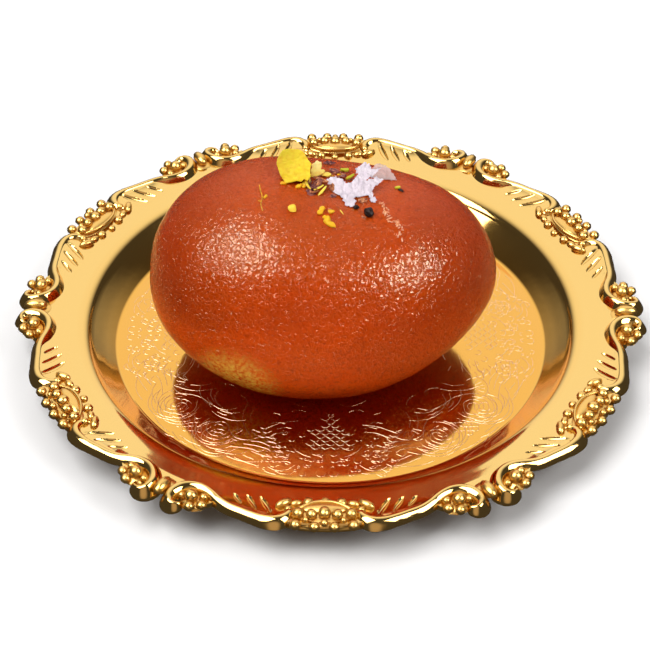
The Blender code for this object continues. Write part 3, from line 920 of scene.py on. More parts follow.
@dataclass
class WellEngraving:
    """Raised lines of the pressed pattern: cones, rosettes, volutes, shells and plumes."""

    floor: float = 1.4
    line: float = 0.05              # radius of a line
    relief: float = 0.5            # its height above the metal as a share of that
    cone_from: float = 24.4
    cone_to: float = 33.6
    row: float = 1.0
    pitch: float = 3.8
    axis: float = 0.6               # the front cone stands a little right of the middle
    repeats: int = 4

    def cone(self) -> list[Line]:
        """Return the lattice of chevrons that fills one cone, both halves."""
        lines = []
        rows = int((self.cone_to - self.cone_from) / self.row) + 1
        for number in range(rows):
            out = self.cone_from + number * self.row
            half = 1.0 + 0.41 * (out - self.cone_from)
            start = (number % 2) * self.pitch / 4
            for step in range(-4, 5):
                across = start + step * self.pitch / 2
                if abs(across) > half:
                    continue
                lines.append([(across - 0.85, -out + 0.3), (across - 0.4, -out - 0.12),
                              (across, -out - 0.32), (across + 0.4, -out - 0.12),
                              (across + 0.85, -out + 0.3)])
        lines.append([(-0.8, -23.6), (0.0, -24.1), (0.8, -23.6)])
        return lines

    def rosette(self, across: float, down: float) -> list[Line]:
        """Return a flower: a ringed heart and nine petals."""
        lines = [arc(across, down, 0.95, 0, 360), arc(across, down, 0.35, 0, 360)]
        for number in range(9):
            turn = math.radians(40 * number + 10)
            lines.append(arc(across + 1.75 * math.cos(turn), down + 1.75 * math.sin(turn), 0.62,
                             40 * number - 100, 40 * number + 120))
        return lines

    def volutes(self) -> list[Line]:
        """Return the two nested scrolls and the leaves that link them."""
        lines = []
        for radius, start, end in ((1.3, -60, 200), (2.4, -150, 120), (3.6, -170, 60),
                                   (4.9, -140, 95), (5.6, -118, 70)):
            lines.append(arc(20.9, -30.2, radius, start, end, radius * 0.86))
        for radius, start, end in ((1.2, -40, 230), (2.3, -130, 160), (3.4, -150, 90),
                                   (4.5, -120, 60), (5.2, -110, 40)):
            lines.append(arc(28.4, -21.6, radius, start, end, radius * 0.88))
        for across, down, size, lean in ((25.0, -25.6, 0.7, -40), (26.2, -26.6, 0.7, -50),
                                         (27.3, -27.9, 0.7, -40), (27.4, -25.4, 0.6, -70),
                                         (24.4, -28.4, 0.6, -20), (28.6, -26.8, 0.6, -60)):
            lines.append(arc(across, down, size, lean - 80, lean + 110))
        lines += [[(15.3, -34.4), (17.7, -35.1), (21.3, -34.1)],
                  [(17.7, -33.6), (19.5, -34.1), (22.7, -33.1)],
                  [(16.5, -30.9), (17.4, -31.3), (18.2, -30.8)]]
        return lines

    def leaves(self) -> list[Line]:
        """Return the streams, cartouche lines, shells and plumes round the scrolls."""
        lines = [
            [(11.0, -32.8), (12.8, -31.7), (14.6, -31.4)],
            [(11.0, -33.8), (12.6, -33.1), (14.0, -32.6), (16.0, -32.2)],
            [(13.0, -34.5), (14.6, -33.6), (16.5, -33.2), (18.8, -32.9)],
            [(17.5, -22.0), (20.0, -22.6), (23.0, -20.6), (24.8, -18.9), (27.0, -18.0),
             (29.8, -17.8)],
            [(17.0, -23.3), (18.8, -23.5), (20.8, -22.7)],
            [(19.5, -24.1), (20.4, -23.8), (21.4, -23.0)],
            [(15.8, -25.6), (18.2, -25.6), (20.6, -24.6), (22.4, -23.0)],
            [(7.2, -28.9), (9.7, -29.3), (12.2, -30.5), (13.2, -29.9)],
            [(6.9, -27.9), (8.2, -27.6), (9.6, -28.0)], [(8.2, -26.5), (9.4, -26.2), (10.7, -26.4)],
            [(2.5, -21.0), (4.2, -21.6), (5.9, -21.0), (7.5, -19.9)],
            [(4.2, -23.2), (5.6, -22.6), (7.0, -23.0)], [(9.0, -24.0), (10.4, -23.4)],
            [(6.2, -38.1), (7.3, -39.1), (8.7, -39.6), (10.1, -39.3), (11.2, -38.5)],
            [(6.5, -40.3), (7.8, -40.5), (9.1, -40.3)], [(9.7, -40.6), (10.9, -40.2), (11.8, -39.6)],
            [(14.0, -36.5), (15.0, -35.9), (16.0, -35.3)], [(13.4, -38.2), (15.6, -37.2), (17.6, -36.0)],
            [(3.2, -35.9), (4.8, -35.1), (5.8, -34.2), (6.6, -33.1)],
            [(26.3, -6.2), (26.5, -7.6), (26.8, -9.0), (27.6, -10.9), (28.6, -12.5)],
            [(36.2, -19.7), (37.4, -17.4), (37.8, -15.0), (37.6, -12.6)],
            [(34.8, -15.0), (35.9, -13.2), (36.5, -11.0)],
            [(15.4, -21.2), (15.9, -19.4), (16.9, -18.4)], [(22.6, -14.6), (24.6, -15.4), (27.0, -15.2)],
            [(21.6, -16.2), (24.2, -16.9), (27.4, -16.7), (30.2, -15.4)],
            [(30.4, -28.9), (32.2, -26.9), (33.4, -24.8)], [(29.4, -30.4), (31.4, -29.2), (33.0, -27.4)]]
        for number in range(7):         # shell between the cone and the scrolls
            turn = math.radians(-150 + 22 * number)
            lines.append([(15.4 + 1.2 * math.cos(turn), -27.6 + 1.2 * math.sin(turn)),
                          (15.4 + 2.1 * math.cos(turn), -27.6 + 2.1 * math.sin(turn)),
                          (15.4 + 2.9 * math.cos(turn), -27.6 + 2.9 * math.sin(turn))])
        lines.append(arc(15.4, -27.6, 3.5, -160, -10))
        for across, down, size, lean in (
                (1.4, -36.6, 0.8, -90), (3.5, -37.6, 0.65, -90), (1.0, -38.9, 0.4, 90),
                (1.2, -40.3, 0.9, -90), (4.6, -40.4, 0.6, -90), (2.9, -36.6, 0.55, -110),
                (3.9, -36.3, 0.5, -60), (1.3, -34.9, 0.75, -90), (5.4, -38.6, 0.25, 0),
                (6.1, -39.6, 0.25, 0), (12.3, -37.0, 0.25, 0), (13.1, -38.4, 0.25, 0),
                (12.0, -39.0, 0.25, 0), (35.6, -8.6, 0.9, -30), (34.2, -6.8, 0.9, -10),
                (36.2, -5.2, 0.8, 20), (33.0, -9.2, 0.8, -60), (31.4, -7.4, 0.7, -30),
                (37.6, -8.0, 0.8, -70), (38.6, -4.4, 0.7, 0), (30.6, -10.6, 0.7, -80),
                (35.0, -2.6, 1.0, 10), (37.0, -2.0, 0.6, 60), (32.6, -3.6, 0.8, -20),
                (29.6, -8.8, 0.6, -40), (28.4, -3.8, 0.8, 0), (30.2, -5.4, 0.7, -20)):
            span = 200 if size < 0.3 else 115
            lines.append(arc(across, down, size, lean - span, lean + span))
        for start, end, count, bow in (((34.0, -14.6), (39.6, -10.8), 5, 0.5),
                                       ((31.0, -13.0), (37.6, -9.6), 6, -0.5),
                                       ((27.6, -13.8), (31.2, -12.4), 4, 0.5)):
            for number in range(count):     # barbs of the plumes, side by side
                share = number / max(1, count - 1)
                across = start[0] + share * (end[0] - start[0])
                down = start[1] + share * (end[1] - start[1])
                lines.append([(across, down), (across + 0.5 + bow, down + 0.9),
                              (across + 0.4, down + 2.0)])
        return lines

    def build(self) -> bpy.types.Object:
        """Draw one cell's lines, mirror them and repeat them round the well."""
        half = self.rosette(9.4, -35.0) + self.volutes() + self.leaves()
        half += [[(-across, down) for across, down in line] for line in half]
        shift = [[(across - self.axis * (side > 0), down) for across, down in line]
                 for side, line in ((1, line) for line in half)]
        routes = []
        for line in self.cone() + shift:
            routes.append([Vector((across, down, self.floor)) * MM for across, down in line])
        cell = drawn("cell", routes, thick=self.line * MM, rounds=1, steps=3)
        cells = [copied(cell, Matrix.Rotation(math.tau * number / self.repeats
                                              + math.radians(1.0), 4, "Z"))
                 for number in range(self.repeats)]
        bpy.data.objects.remove(cell, do_unlink=True)
        whole = joined("dish_engraving", cells)
        for vert in whole.data.vertices:
            level = self.floor * MM
            vert.co.z = level + (vert.co.z - level) * self.relief
        settle(whole, smooth=60.0, merge=0.0005)
        return dressed(whole, WORN_GILT, Slot.GILT)


@dataclass
class Tray:
    """The whole tray: sheet, rim and engraving."""

    def build(self) -> None:
        """Build the tray's pieces."""
        TraySheet().build()
        RimBars().build()
        relief = joined("dish_rim_relief", ScrollGroup().build() + Cartouche().build())
        settle(relief, smooth=60.0)
        dressed(relief, CAST_GILT, Slot.GILT)
        WellEngraving().build()


# ------------------------------------------------------------------ the sweet

@dataclass
class Sweet:
    """The gulab jamun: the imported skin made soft, then wrinkled by frying and syrup."""

    drop: float = 0.3               # down onto the well, millimetres
    cell: float = 0.369              # spacing of the skin's points, millimetres
    # Unevenness of the skin: size of the pattern, height, and kind of pattern
    folds: tuple[tuple[float, float, str], ...] = (
        (14.0, 0.5, "CLOUDS"), (3.4, 0.12, "CLOUDS"), (1.3, 0.07, "CLOUDS"))

    def let_out(self, skin: bpy.types.Object) -> None:
        """Move the skin's points outwards until its softened form passes through them."""
        packed = [vert.co.copy() for vert in skin.data.vertices]
        softer = skin.modifiers.new("softer", "SUBSURF")
        for _ in range(3):
            graph = bpy.context.evaluated_depsgraph_get()
            soft = skin.evaluated_get(graph).data
            slack = [place - soft.vertices[number].co for number, place in enumerate(packed)]
            for vert, move in zip(skin.data.vertices, slack):
                vert.co += move
            skin.data.update()
        skin.modifiers.remove(softer)

    def build(self, node: bpy.types.Object) -> bpy.types.Object:
        """Make the sweet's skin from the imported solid.

        Args:
            node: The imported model's node.

        Returns:
            The finished piece.
        """
        skin = copied(node, Matrix.Translation((0.0, 0.0, -self.drop * MM)))
        skin.parent = None
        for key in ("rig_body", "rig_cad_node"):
            if key in skin:
                del skin[key]
        skin.name = skin.data.name = "gulab_jamun_skin"
        with edit_mode(skin):
            bpy.ops.mesh.remove_doubles(threshold=0.01 * MM)
            bpy.ops.mesh.tris_convert_to_quads(face_threshold=math.radians(60),
                                               shape_threshold=math.radians(60))
        self.let_out(skin)
        apply_modifier(skin, "soften", "SUBSURF", levels=3, render_levels=3)
        apply_modifier(skin, "even", "REMESH", mode="VOXEL", voxel_size=self.cell * MM,
                       use_smooth_shade=True)
        apply_modifier(skin, "ease", "SMOOTH", factor=0.5, iterations=3)
        for size, height, kind in self.folds:
            pattern = bpy.data.textures.new(f"skin_{size}", kind)
            pattern.noise_scale = size * MM
            apply_modifier(skin, "fold", "DISPLACE", texture=pattern, strength=height * MM,
                           mid_level=0.5, texture_coords="LOCAL")
        settle(skin, smooth=80.0, merge=0.0005)
        return dressed(skin, DOUGH, Slot.DOUGH, "gulab_jamun")


# ------------------------------------------------------------------ garnish

@dataclass
class Crown:
    """The sweet's upper surface, which the garnish is laid on."""

    tree: BVHTree

    @classmethod
    def of(cls, sweet: bpy.types.Object) -> "Crown":
        """Return the crown of a finished sweet."""
        graph = bpy.context.evaluated_depsgraph_get()
        return cls(BVHTree.FromObject(sweet, graph))

    def under(self, across: float, back: float) -> tuple[Vector, Vector]:
        """Find the surface below a point.

        Args:
            across: X in millimetres.
            back: Y in millimetres.

        Returns:
            The point on the surface and the surface's normal there.
        """
        above = Vector((across * MM, back * MM, 0.1))
        spot, normal, _, _ = self.tree.ray_cast(above, Vector((0.0, 0.0, -1.0)))
        return spot, normal

    def frame(self, across: float, back: float, lift: float = 0.0) -> Matrix:
        """Return a frame that stands on the surface, its Z along the normal.

        Args:
            across: X in millimetres.
            back: Y in millimetres.
            lift: Height above the surface in millimetres.

        Returns:
            The frame as a matrix.
        """
        spot, normal = self.under(across, back)
        turn = Vector((0.0, 0.0, 1.0)).rotation_difference(normal).to_matrix().to_4x4()
        return Matrix.Translation(spot + normal * lift * MM) @ turn


@dataclass
class Chip:
    """A chopped piece of kernel: a broken slab with one broad face cut flat."""

    at: tuple[float, float, float]              # middle of the broad face, millimetres
    outline: tuple[tuple[float, float], ...]    # the face's edge, across and along it
    thick: float = 4.2
    narrow: float = 0.82                        # how much less wide it is at the back
    lean: float = 40.0                          # degrees that its broad face is tipped back
    rough: float = 0.13

    def build(self) -> bpy.types.Object:
        """Push the face's outline back to a slab, wear its edges and roughen it."""
        chip = added("chip", bpy.ops.mesh.primitive_circle_add, vertices=len(self.outline),
                     radius=1.0, fill_type="NGON")
        for vert, place in zip(chip.data.vertices, self.outline):
            vert.co = (*place, 0.0)
        with edit_mode(chip):
            bpy.ops.mesh.extrude_region_move(
                TRANSFORM_OT_translate={"value": (0.0, 0.0, -self.thick)})
            bpy.ops.transform.resize(value=(self.narrow, self.narrow, 1.0),
                                     center_override=(0.0, 0.0, -self.thick))
            bpy.ops.mesh.select_all(action="SELECT")
            bpy.ops.mesh.normals_make_consistent(inside=False)
        apply_modifier(chip, "weave", "REMESH", mode="VOXEL", voxel_size=0.14)
        apply_modifier(chip, "worn", "SMOOTH", factor=0.6, iterations=4)
        chip.data.transform(Matrix.Translation(Vector(self.at) * MM)
                            @ Matrix.Rotation(math.radians(90.0 - self.lean), 4, "X")
                            @ Matrix.Diagonal((MM, MM, MM, 1.0)))
        for size, share in ((2.2, 1.0), (0.9, 0.7), (0.45, 0.4)):
            grain = bpy.data.textures.new("chip_grain", "CLOUDS")
            grain.noise_scale = size * MM
            apply_modifier(chip, "grain", "DISPLACE", texture=grain, mid_level=0.5,
                           strength=self.rough * share * 2.0 * MM, texture_coords="LOCAL")
        return chip


@dataclass
class Shaving:
    """A thin curled slip: a slice of kernel, a scrap of seed skin, or a sliver."""

    at: tuple[float, float]             # where its middle stands on the sweet, millimetres
    size: tuple[float, float, float]    # length, width and thickness
    turn: float                         # degrees, in plan
    tilt: float = 0.0                   # degrees that its far end is raised
    roll: float = 0.0                   # degrees that its side is raised
    curl: float = 0.0                   # degrees that it bends along its length
    lift: float = 0.3
    ragged: float = 0.15
    taper: float = 0.5

    def build(self, crown: Crown, seed: int) -> bpy.types.Object:
        """Cut a strip from a grid, curl it and thicken it.

        Args:
            crown: The surface that it lies on.
            seed: Seed of its ragged outline.

        Returns:
            The mesh object.
        """
        draw = random.Random(seed)
        slip = added("slip", bpy.ops.mesh.primitive_grid_add, x_subdivisions=12,
                     y_subdivisions=6, size=2.0)
        length, width, thick = self.size
        shift = [draw.uniform(0.0, 100.0) for _ in range(2)]
        for vert in slip.data.vertices:
            along, side = vert.co.x, vert.co.y
            narrow = 1.0 - self.taper * along * along
            noisy = noise.noise(Vector((along * 2.2 + shift[0], side * 1.5, 0.0)))
            end = noise.noise(Vector((side * 2.2 + shift[1], along, 3.0)))
            out = Vector((along * (1.0 + self.ragged * end * abs(along)) * length / 2,
                          side * narrow * (1.0 + 2.0 * self.ragged * noisy) * width / 2, 0.0))
            if abs(self.curl) > 1.0:
                bend = math.radians(self.curl) / length
                turn = out.x * bend
                out = Vector((math.sin(turn) / bend, out.y, (1.0 - math.cos(turn)) / bend))
            out.z += 0.25 * thick * noisy + 0.12 * width * end * side * side
            vert.co = out * MM
        apply_modifier(slip, "thick", "SOLIDIFY", thickness=thick * MM, offset=0.0)
        apply_modifier(slip, "soft", "SUBSURF", levels=1, render_levels=1)
        lie = (Matrix.Rotation(math.radians(self.turn), 4, "Z")
               @ Matrix.Rotation(math.radians(-self.tilt), 4, "Y")
               @ Matrix.Rotation(math.radians(self.roll), 4, "X"))
        slip.data.transform(crown.frame(*self.at, self.lift) @ lie)
        return slip


@dataclass
class Leaf:
    """A torn, crumpled scrap of beaten silver, stuck down in front and lifted behind."""

    name: str
    edge: tuple[tuple[float, float], ...]   # torn outline in plan, millimetres
    foot: float                             # Y where it leaves the sweet, millimetres
    slope: float                            # rise of the lifted part
    thick: float = 0.07
    crumple: float = 0.45
    cell: float = 0.18

    def inside(self, across: float, back: float) -> bool:
        """Tell whether a point in plan lies within the torn outline."""
        found = False
        for (ax, ay), (bx, by) in zip(self.edge, self.edge[1:] + self.edge[:1]):
            if (ay > back) != (by > back) and across < ax + (back - ay) * (bx - ax) / (by - ay):
                found = not found
        return found

    def build(self, crown: Crown, finish: Finish) -> bpy.types.Object:
        """Tear a sheet to its outline, lay it on the sweet and crumple it.

        Args:
            crown: The surface that it lies on.
            finish: Its finish.

        Returns:
            The finished piece.
        """
        wide = [place[0] for place in self.edge]
        deep = [place[1] for place in self.edge]
        middle = Vector(((min(wide) + max(wide)) / 2, (min(deep) + max(deep)) / 2, 0.0))
        span = max(max(wide) - min(wide), max(deep) - min(deep)) + 1.0
        cells = int(span / self.cell)
        sheet = added(self.name, bpy.ops.mesh.primitive_grid_add, x_subdivisions=cells,
                      y_subdivisions=cells, size=span * MM, location=middle * MM)
        work_on(sheet)
        bpy.ops.object.transform_apply(location=True, rotation=False, scale=False)

        def torn_off(face: bmesh.types.BMFace) -> bool:
            """Tell whether a face lies outside the ragged outline."""
            spot = face.calc_center_median() / MM
            jag = 0.18 * noise.noise(spot * 1.7) + 0.16 * noise.noise(spot * 4.0)
            return not self.inside(spot.x + jag, spot.y + 0.8 * jag)

        with edit_mode(sheet, torn_off, "FACE"):
            bpy.ops.mesh.delete(type="FACE")
        for vert in sheet.data.vertices:
            across, back = vert.co.x / MM, vert.co.y / MM
            spot, _ = crown.under(across, back)
            base = spot.z / MM + 0.15
            plane = crown.under(across, self.foot)[0].z / MM + self.slope * (back - self.foot)
            fold = noise.noise(Vector((across * 0.75, back * 0.55, 1.0)))
            fine = noise.noise(Vector((across * 2.4, back * 2.0, 5.0)))
            level = max(base, plane) + self.crumple * (abs(fold) * 2.2 + 0.6 * fine)
            vert.co.z = max(level, base) * MM
            vert.co.x += 0.12 * fine * MM
        apply_modifier(sheet, "thick", "SOLIDIFY", thickness=self.thick * MM, offset=0.0)
        settle(sheet, smooth=70.0, merge=0.0005)
        return dressed(sheet, finish, Slot.SILVER, self.name.replace("_sheet", ""))


@dataclass
class Crumbs:
    """A scatter of crumbs, each cut from the same ball and turned its own way."""

    name: str
    places: tuple[tuple[float, float, float, float, float], ...]
    # X, Y, length, width and turn of each crumb, millimetres and degrees
    seed: int = 3

    def build(self, crown: Crown) -> bpy.types.Object:
        """Shape the crumbs and press them into the wet skin.

        Args:
            crown: The surface that they lie on.

        Returns:
            The mesh object, not yet dressed.
        """
        draw = random.Random(self.seed)
        made = []
        for across, back, length, width, turn in self.places:
            crumb = added("crumb", bpy.ops.mesh.primitive_ico_sphere_add, subdivisions=2,
                          radius=0.5)
            shift = Vector([draw.uniform(0.0, 50.0) for _ in range(3)])
            for vert in crumb.data.vertices:
                vert.co *= 1.0 + 0.45 * noise.noise(vert.co * 3.0 + shift)
            half = Matrix.Diagonal((length * MM, width * MM, 0.75 * width * MM, 1.0))
            lie = Matrix.Rotation(math.radians(turn), 4, "Z")
            crumb.data.transform(crown.frame(across, back, 0.22 * width) @ lie @ half)
            made.append(crumb)
        whole = joined(self.name, made)
        settle(whole, smooth=50.0)
        return whole


@dataclass
class Seed:
    """A cardamom seed: an angular ribbed grain."""

    at: tuple[float, float]
    size: tuple[float, float, float]
    turn: float

    def build(self, crown: Crown) -> bpy.types.Object:
        """Rib a ball, flatten its sides and lay it on the sweet.

        Args:
            crown: The surface that it lies on.

        Returns:
            The mesh object.
        """
        seed = added("seed", bpy.ops.mesh.primitive_uv_sphere_add, segments=28, ring_count=14,
                     radius=0.5)
        for number, way in enumerate(((0.9, 0.3, 0.5), (-0.8, 0.5, 0.4), (0.1, -1.0, 0.35))):
            plane = Vector(way).normalized()
            with edit_mode(seed):
                bpy.ops.mesh.bisect(plane_co=plane * (0.40 + 0.02 * number), plane_no=plane,
                                    use_fill=True, clear_outer=True)
        apply_modifier(seed, "weave", "REMESH", mode="VOXEL", voxel_size=0.04)
        for vert in seed.data.vertices:
            around = math.atan2(vert.co.z, vert.co.y)
            rib = 0.03 * math.sin(9.0 * around + 2.0 * vert.co.x)
            knob = 0.05 * noise.noise(vert.co * 9.0)
            vert.co *= 1.0 + rib + knob
        seed.data.transform(Matrix.Diagonal((*(side * MM for side in self.size), 1.0)))
        lie = Matrix.Rotation(math.radians(self.turn), 4, "Z")
        seed.data.transform(crown.frame(*self.at, self.size[2] * 0.42) @ lie)
        return seed


def scattered(name: str, slips: Sequence[Shaving], crown: Crown, finish: Finish, slot: Slot,
              *nodes: str) -> bpy.types.Object:
    """Make one piece of all the slips of a kind.

    Args:
        name: Name of the piece.
        slips: The slips.
        crown: The surface that they lie on.
        finish: Their finish.
        slot: The record's slot for it.
        nodes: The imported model's nodes that the piece stands for.

    Returns:
        The finished piece.
    """
    made = [slip.build(crown, number + len(name)) for number, slip in enumerate(slips)]
    whole = joined(name, made)
    settle(whole, smooth=50.0)
    return dressed(whole, finish, slot, *nodes)


@dataclass
class Garnish:
    """All that is strewn on the sweet."""

    crown: Crown

    def pistachio(self) -> None:
        """Lay the chunk, the slices, the shavings and the crumbs."""
        crown = self.crown
        chunk = Chip((-6.9, -1.2, 44.2), (
            (-3.3, 1.3), (-2.7, 2.4), (-2.1, 3.1), (-1.0, 3.35), (0.9, 3.25), (1.9, 2.7),
            (2.4, 1.7), (3.3, 0.6), (3.15, -0.9), (3.2, -2.0), (2.6, -2.8), (1.9, -2.35),
            (1.5, -3.0), (0.5, -2.7), (-0.3, -3.1), (-1.6, -3.3), (-2.0, -2.7), (-2.7, -1.4),
            (-3.2, 0.1)), lean=39.0).build()
        chunk.name = chunk.data.name = "pistachio_chunk_cut"
        settle(chunk, smooth=50.0)
        dressed(chunk, KERNEL, Slot.PISTACHIO, "pistachio_chunk")
        slices = [Shaving((-2.9, 2.0), (3.0, 1.9, 0.45), 70, 42, 12, 30, 1.1, 0.25, 0.5),
                  Shaving((-2.6, 0.9), (3.2, 1.1, 0.4), 28, 16, 25, 20, 0.7, 0.2, 0.7),
                  Shaving((-1.0, 1.2), (2.2, 1.2, 0.4), -15, 12, 10, 25, 0.5, 0.35, 0.5),
                  Shaving((-4.6, -2.0), (2.2, 0.9, 0.4), 50, 8, 10, 0, 0.3, 0.4, 0.3)]
        scattered("pistachio_slices", slices, crown, CREAM_KERNEL, Slot.PISTACHIO,
                  "pistachio_slice")
        green = [Shaving((2.6, 4.2), (1.7, 1.0, 0.5), 5, 5, 0, 20, 0.5, 0.2, 0.5),
                 Shaving((3.7, 1.2), (2.4, 0.7, 0.4), 52, 5, 0, 15, 0.7, 0.2, 0.7),
                 Shaving((12.9, 0.4), (1.1, 0.6, 0.35), 20, 5, 0, 0, 0.2, 0.2, 0.5)]
        scattered("green_shavings", green, crown, GREEN_KERNEL, Slot.PISTACHIO)
        crumbs = Crumbs("pistachio_crumbs", (
            (-7.0, -9.9, 1.9, 1.7, 0), (-1.4, -9.0, 1.5, 1.0, 60), (-1.8, -10.1, 1.3, 1.0, 20),
            (0.3, -9.5, 1.2, 1.0, 20), (-0.4, -11.7, 1.9, 1.3, 80), (0.3, -12.6, 2.0, 1.2, -25),
            (-0.9, -11.0, 1.0, 0.8, 30), (-8.9, -2.9, 1.2, 0.9, 0), (-6.0, -3.4, 1.3, 0.9, 40),
            (-4.9, -3.2, 1.0, 0.7, 30), (-5.5, -2.7, 0.9, 0.6, -30), (-1.2, 1.8, 1.0, 0.8, 0),
            (0.1, 1.6, 1.1, 0.7, 40), (1.6, 2.6, 0.8, 0.6, 0), (-2.3, -1.2, 0.7, 0.5, 0),
            (-1.5, -4.4, 0.6, 0.4, 60), (-12.1, -7.0, 1.0, 0.6, 60)))
        dressed(crumbs.build(crown), CRUMB_KERNEL, Slot.PISTACHIO)

    def skins(self) -> None:
        """Lay the scraps of purple seed skin and the dry splinters."""
        scraps = [Shaving((-2.7, -2.9), (3.4, 2.3, 0.14), 62, 10, -18, 70, 0.5, 0.4, 0.3),
                  Shaving((-3.4, -4.6), (2.2, 1.8, 0.14), 20, -8, 20, -50, 0.3, 0.45, 0.3),
                  Shaving((-4.1, -1.6), (2.4, 1.0, 0.14), 100, 20, 30, 40, 0.5, 0.3, 0.4),
                  Shaving((0.6, 3.2), (1.8, 1.2, 0.2), 10, 5, 10, 40, 0.5, 0.4, 0.3),
                  Shaving((2.2, 1.6), (1.6, 1.2, 0.2), 40, 5, -15, 30, 0.5, 0.4, 0.3),
                  Shaving((0.6, -5.2), (1.2, 0.9, 0.14), 0, 5, 0, 30, 0.2, 0.4, 0.3),
                  Shaving((-0.4, 6.8), (2.4, 0.8, 0.2), 12, 0, 20, 20, 0.4, 0.4, 0.5)]
        scattered("pistachio_skins", scraps, self.crown, SEED_SKIN, Slot.PISTACHIO)
        flakes = [Shaving((-1.9, -1.5), (3.6, 0.9, 0.25), -38, 12, 15, 18, 0.9, 0.25, 0.6),
                  Shaving((0.2, -3.3), (1.9, 1.4, 0.15), 75, 8, 40, 30, 0.7, 0.35, 0.4),
                  Shaving((1.1, 3.0), (1.7, 0.5, 0.2), 30, 8, 20, 20, 0.4, 0.3, 0.5),
                  Shaving((2.2, 2.3), (1.5, 0.5, 0.2), -42, 8, 0, 30, 0.5, 0.3, 0.5),
                  Shaving((-0.4, 1.2), (1.5, 0.5, 0.2), 18, 8, 10, 20, 0.5, 0.3, 0.5),
                  Shaving((1.3, 1.0), (1.4, 0.5, 0.2), -22, 8, 0, 30, 0.5, 0.3, 0.5),
                  Shaving((-3.0, -4.9), (1.6, 0.8, 0.15), 10, 8, -20, 40, 0.5, 0.35, 0.4),
                  Shaving((-2.4, -3.0), (1.5, 0.6, 0.15), 35, 20, 10, 40, 1.0, 0.35, 0.4),
                  Shaving((6.2, -5.6), (1.8, 1.0, 0.15), 25, 8, 10, 40, 0.3, 0.35, 0.4),
                  Shaving((6.4, -9.9), (0.9, 0.5, 0.15), -20, 0, 0, 20, 0.2, 0.35, 0.4)]
        scattered("dry_flakes", flakes, self.crown, DRY_FLAKE, Slot.DOUGH)
        splinters = [Shaving((-1.5, -4.6), (3.2, 0.5, 0.25), 62, 4, 0, 12, 0.6, 0.2, 0.6),
                     Shaving((-4.4, -3.2), (3.6, 0.5, 0.2), -70, 4, 0, 50, 0.5, 0.2, 0.6),
                     Shaving((-2.2, -4.0), (2.4, 0.4, 0.2), 40, 4, 0, 30, 0.8, 0.2, 0.6),
                     Shaving((2.3, -9.3), (1.4, 0.25, 0.12), -60, 0, 0, 10, 0.1, 0.1, 0.6)]
        scattered("pistachio_splinters", splinters, self.crown, CREAM_KERNEL, Slot.PISTACHIO)

    def silver(self) -> None:
        """Lay the large silver scrap and the thin one behind it."""
        large = Leaf("silver_leaf_sheet", (
            (-1.0, -1.7), (-0.3, -1.1), (1.1, -0.7), (2.3, -1.2), (3.3, -2.0), (4.2, -1.4),
            (5.0, -0.3), (5.2, 0.3), (4.7, 1.2), (5.5, 2.1), (6.5, 3.0), (7.4, 2.7), (7.9, 1.9),
            (8.5, 1.7), (9.5, 2.3), (8.4, 0.7), (7.3, -0.4), (6.7, -0.8), (7.5, -0.6),
            (8.7, 0.1), (10.2, 0.0), (9.1, -1.2), (8.3, -2.2), (7.8, -2.9), (8.2, -3.7),
            (8.8, -4.9), (8.7, -5.9), (7.9, -5.4), (7.3, -4.1), (6.7, -3.7), (5.8, -4.5),
            (5.0, -4.9), (4.5, -5.7), (4.9, -6.3), (4.6, -7.3), (3.8, -7.9), (3.0, -7.3),
            (2.3, -6.4), (2.6, -5.7), (2.0, -5.1), (1.1, -4.5), (0.3, -3.3), (-0.4, -2.2)),
            -4.0, 0.42, crumple=0.34)
        large.build(self.crown, SILVER)
        small = Leaf("silver_flake_sheet", (
            (6.9, 3.3), (7.8, 5.0), (8.4, 6.2), (9.5, 6.8), (10.6, 6.6), (11.3, 5.8),
            (12.4, 4.2), (12.6, 3.4), (11.5, 3.0), (10.0, 3.1)), 3.4, 0.32, crumple=0.2)
        small.build(self.crown, THIN_SILVER)

    def seeds(self) -> None:
        """Lay the cardamom seeds and the saffron threads."""
        grains = [Seed((7.3, -8.8), (2.3, 1.9, 1.5), 100), Seed((5.0, -7.7), (1.2, 0.9, 0.8), 20),
                  Seed((13.5, -0.4), (1.3, 0.6, 0.5), -30)]
        whole = joined("cardamom_seeds", [grain.build(self.crown) for grain in grains])
        settle(whole, smooth=50.0)
        dressed(whole, SEED_COAT, Slot.CARDAMOM, "cardamom_seed")
        routes = []
        for places in (((-13.4, -3.6), (-13.1, -5.4), (-12.7, -7.2), (-12.9, -8.9), (-12.5, -10.6)),
                       ((-12.6, -7.1), (-12.2, -7.4), (-11.9, -6.8)),
                       ((-12.8, -8.4), (-13.4, -8.1))):
            routes.append([self.crown.frame(*place, 0.12).translation for place in places])
        threads = drawn("saffron_threads", routes, thick=0.11 * MM, rounds=1, steps=3)
        settle(threads, smooth=60.0)
        dressed(threads, SAFFRON, Slot.SAFFRON)

    def cracked_skin(self) -> None:
        """Strew the pale crumbs along the crack in the sweet's skin."""
        draw = random.Random(21)
        path = ((7.8, -3.8), (9.8, -5.5), (10.6, -6.9), (10.5, -8.4), (11.5, -9.4),
                (13.0, -9.9), (13.5, -11.6), (13.2, -13.8))
        places = []
        for start, end in zip(path, path[1:]):
            for _ in range(5):
                share = draw.random()
                across = start[0] + share * (end[0] - start[0]) + draw.uniform(-0.4, 0.4)
                back = start[1] + share * (end[1] - start[1]) + draw.uniform(-0.4, 0.4)
                places.append((across, back, draw.uniform(0.4, 1.3), draw.uniform(0.2, 0.42),
                               draw.uniform(0.0, 180.0)))
        crumbs = Crumbs("skin_crumbs", tuple(places), 5).build(self.crown)
        dressed(crumbs, DOUGH_CRUMB, Slot.DOUGH)

    def build(self) -> None:
        """Lay the whole garnish."""
        self.pistachio()
        self.skins()
        self.silver()
        self.seeds()
        self.cracked_skin()


# ------------------------------------------------------------------ studio

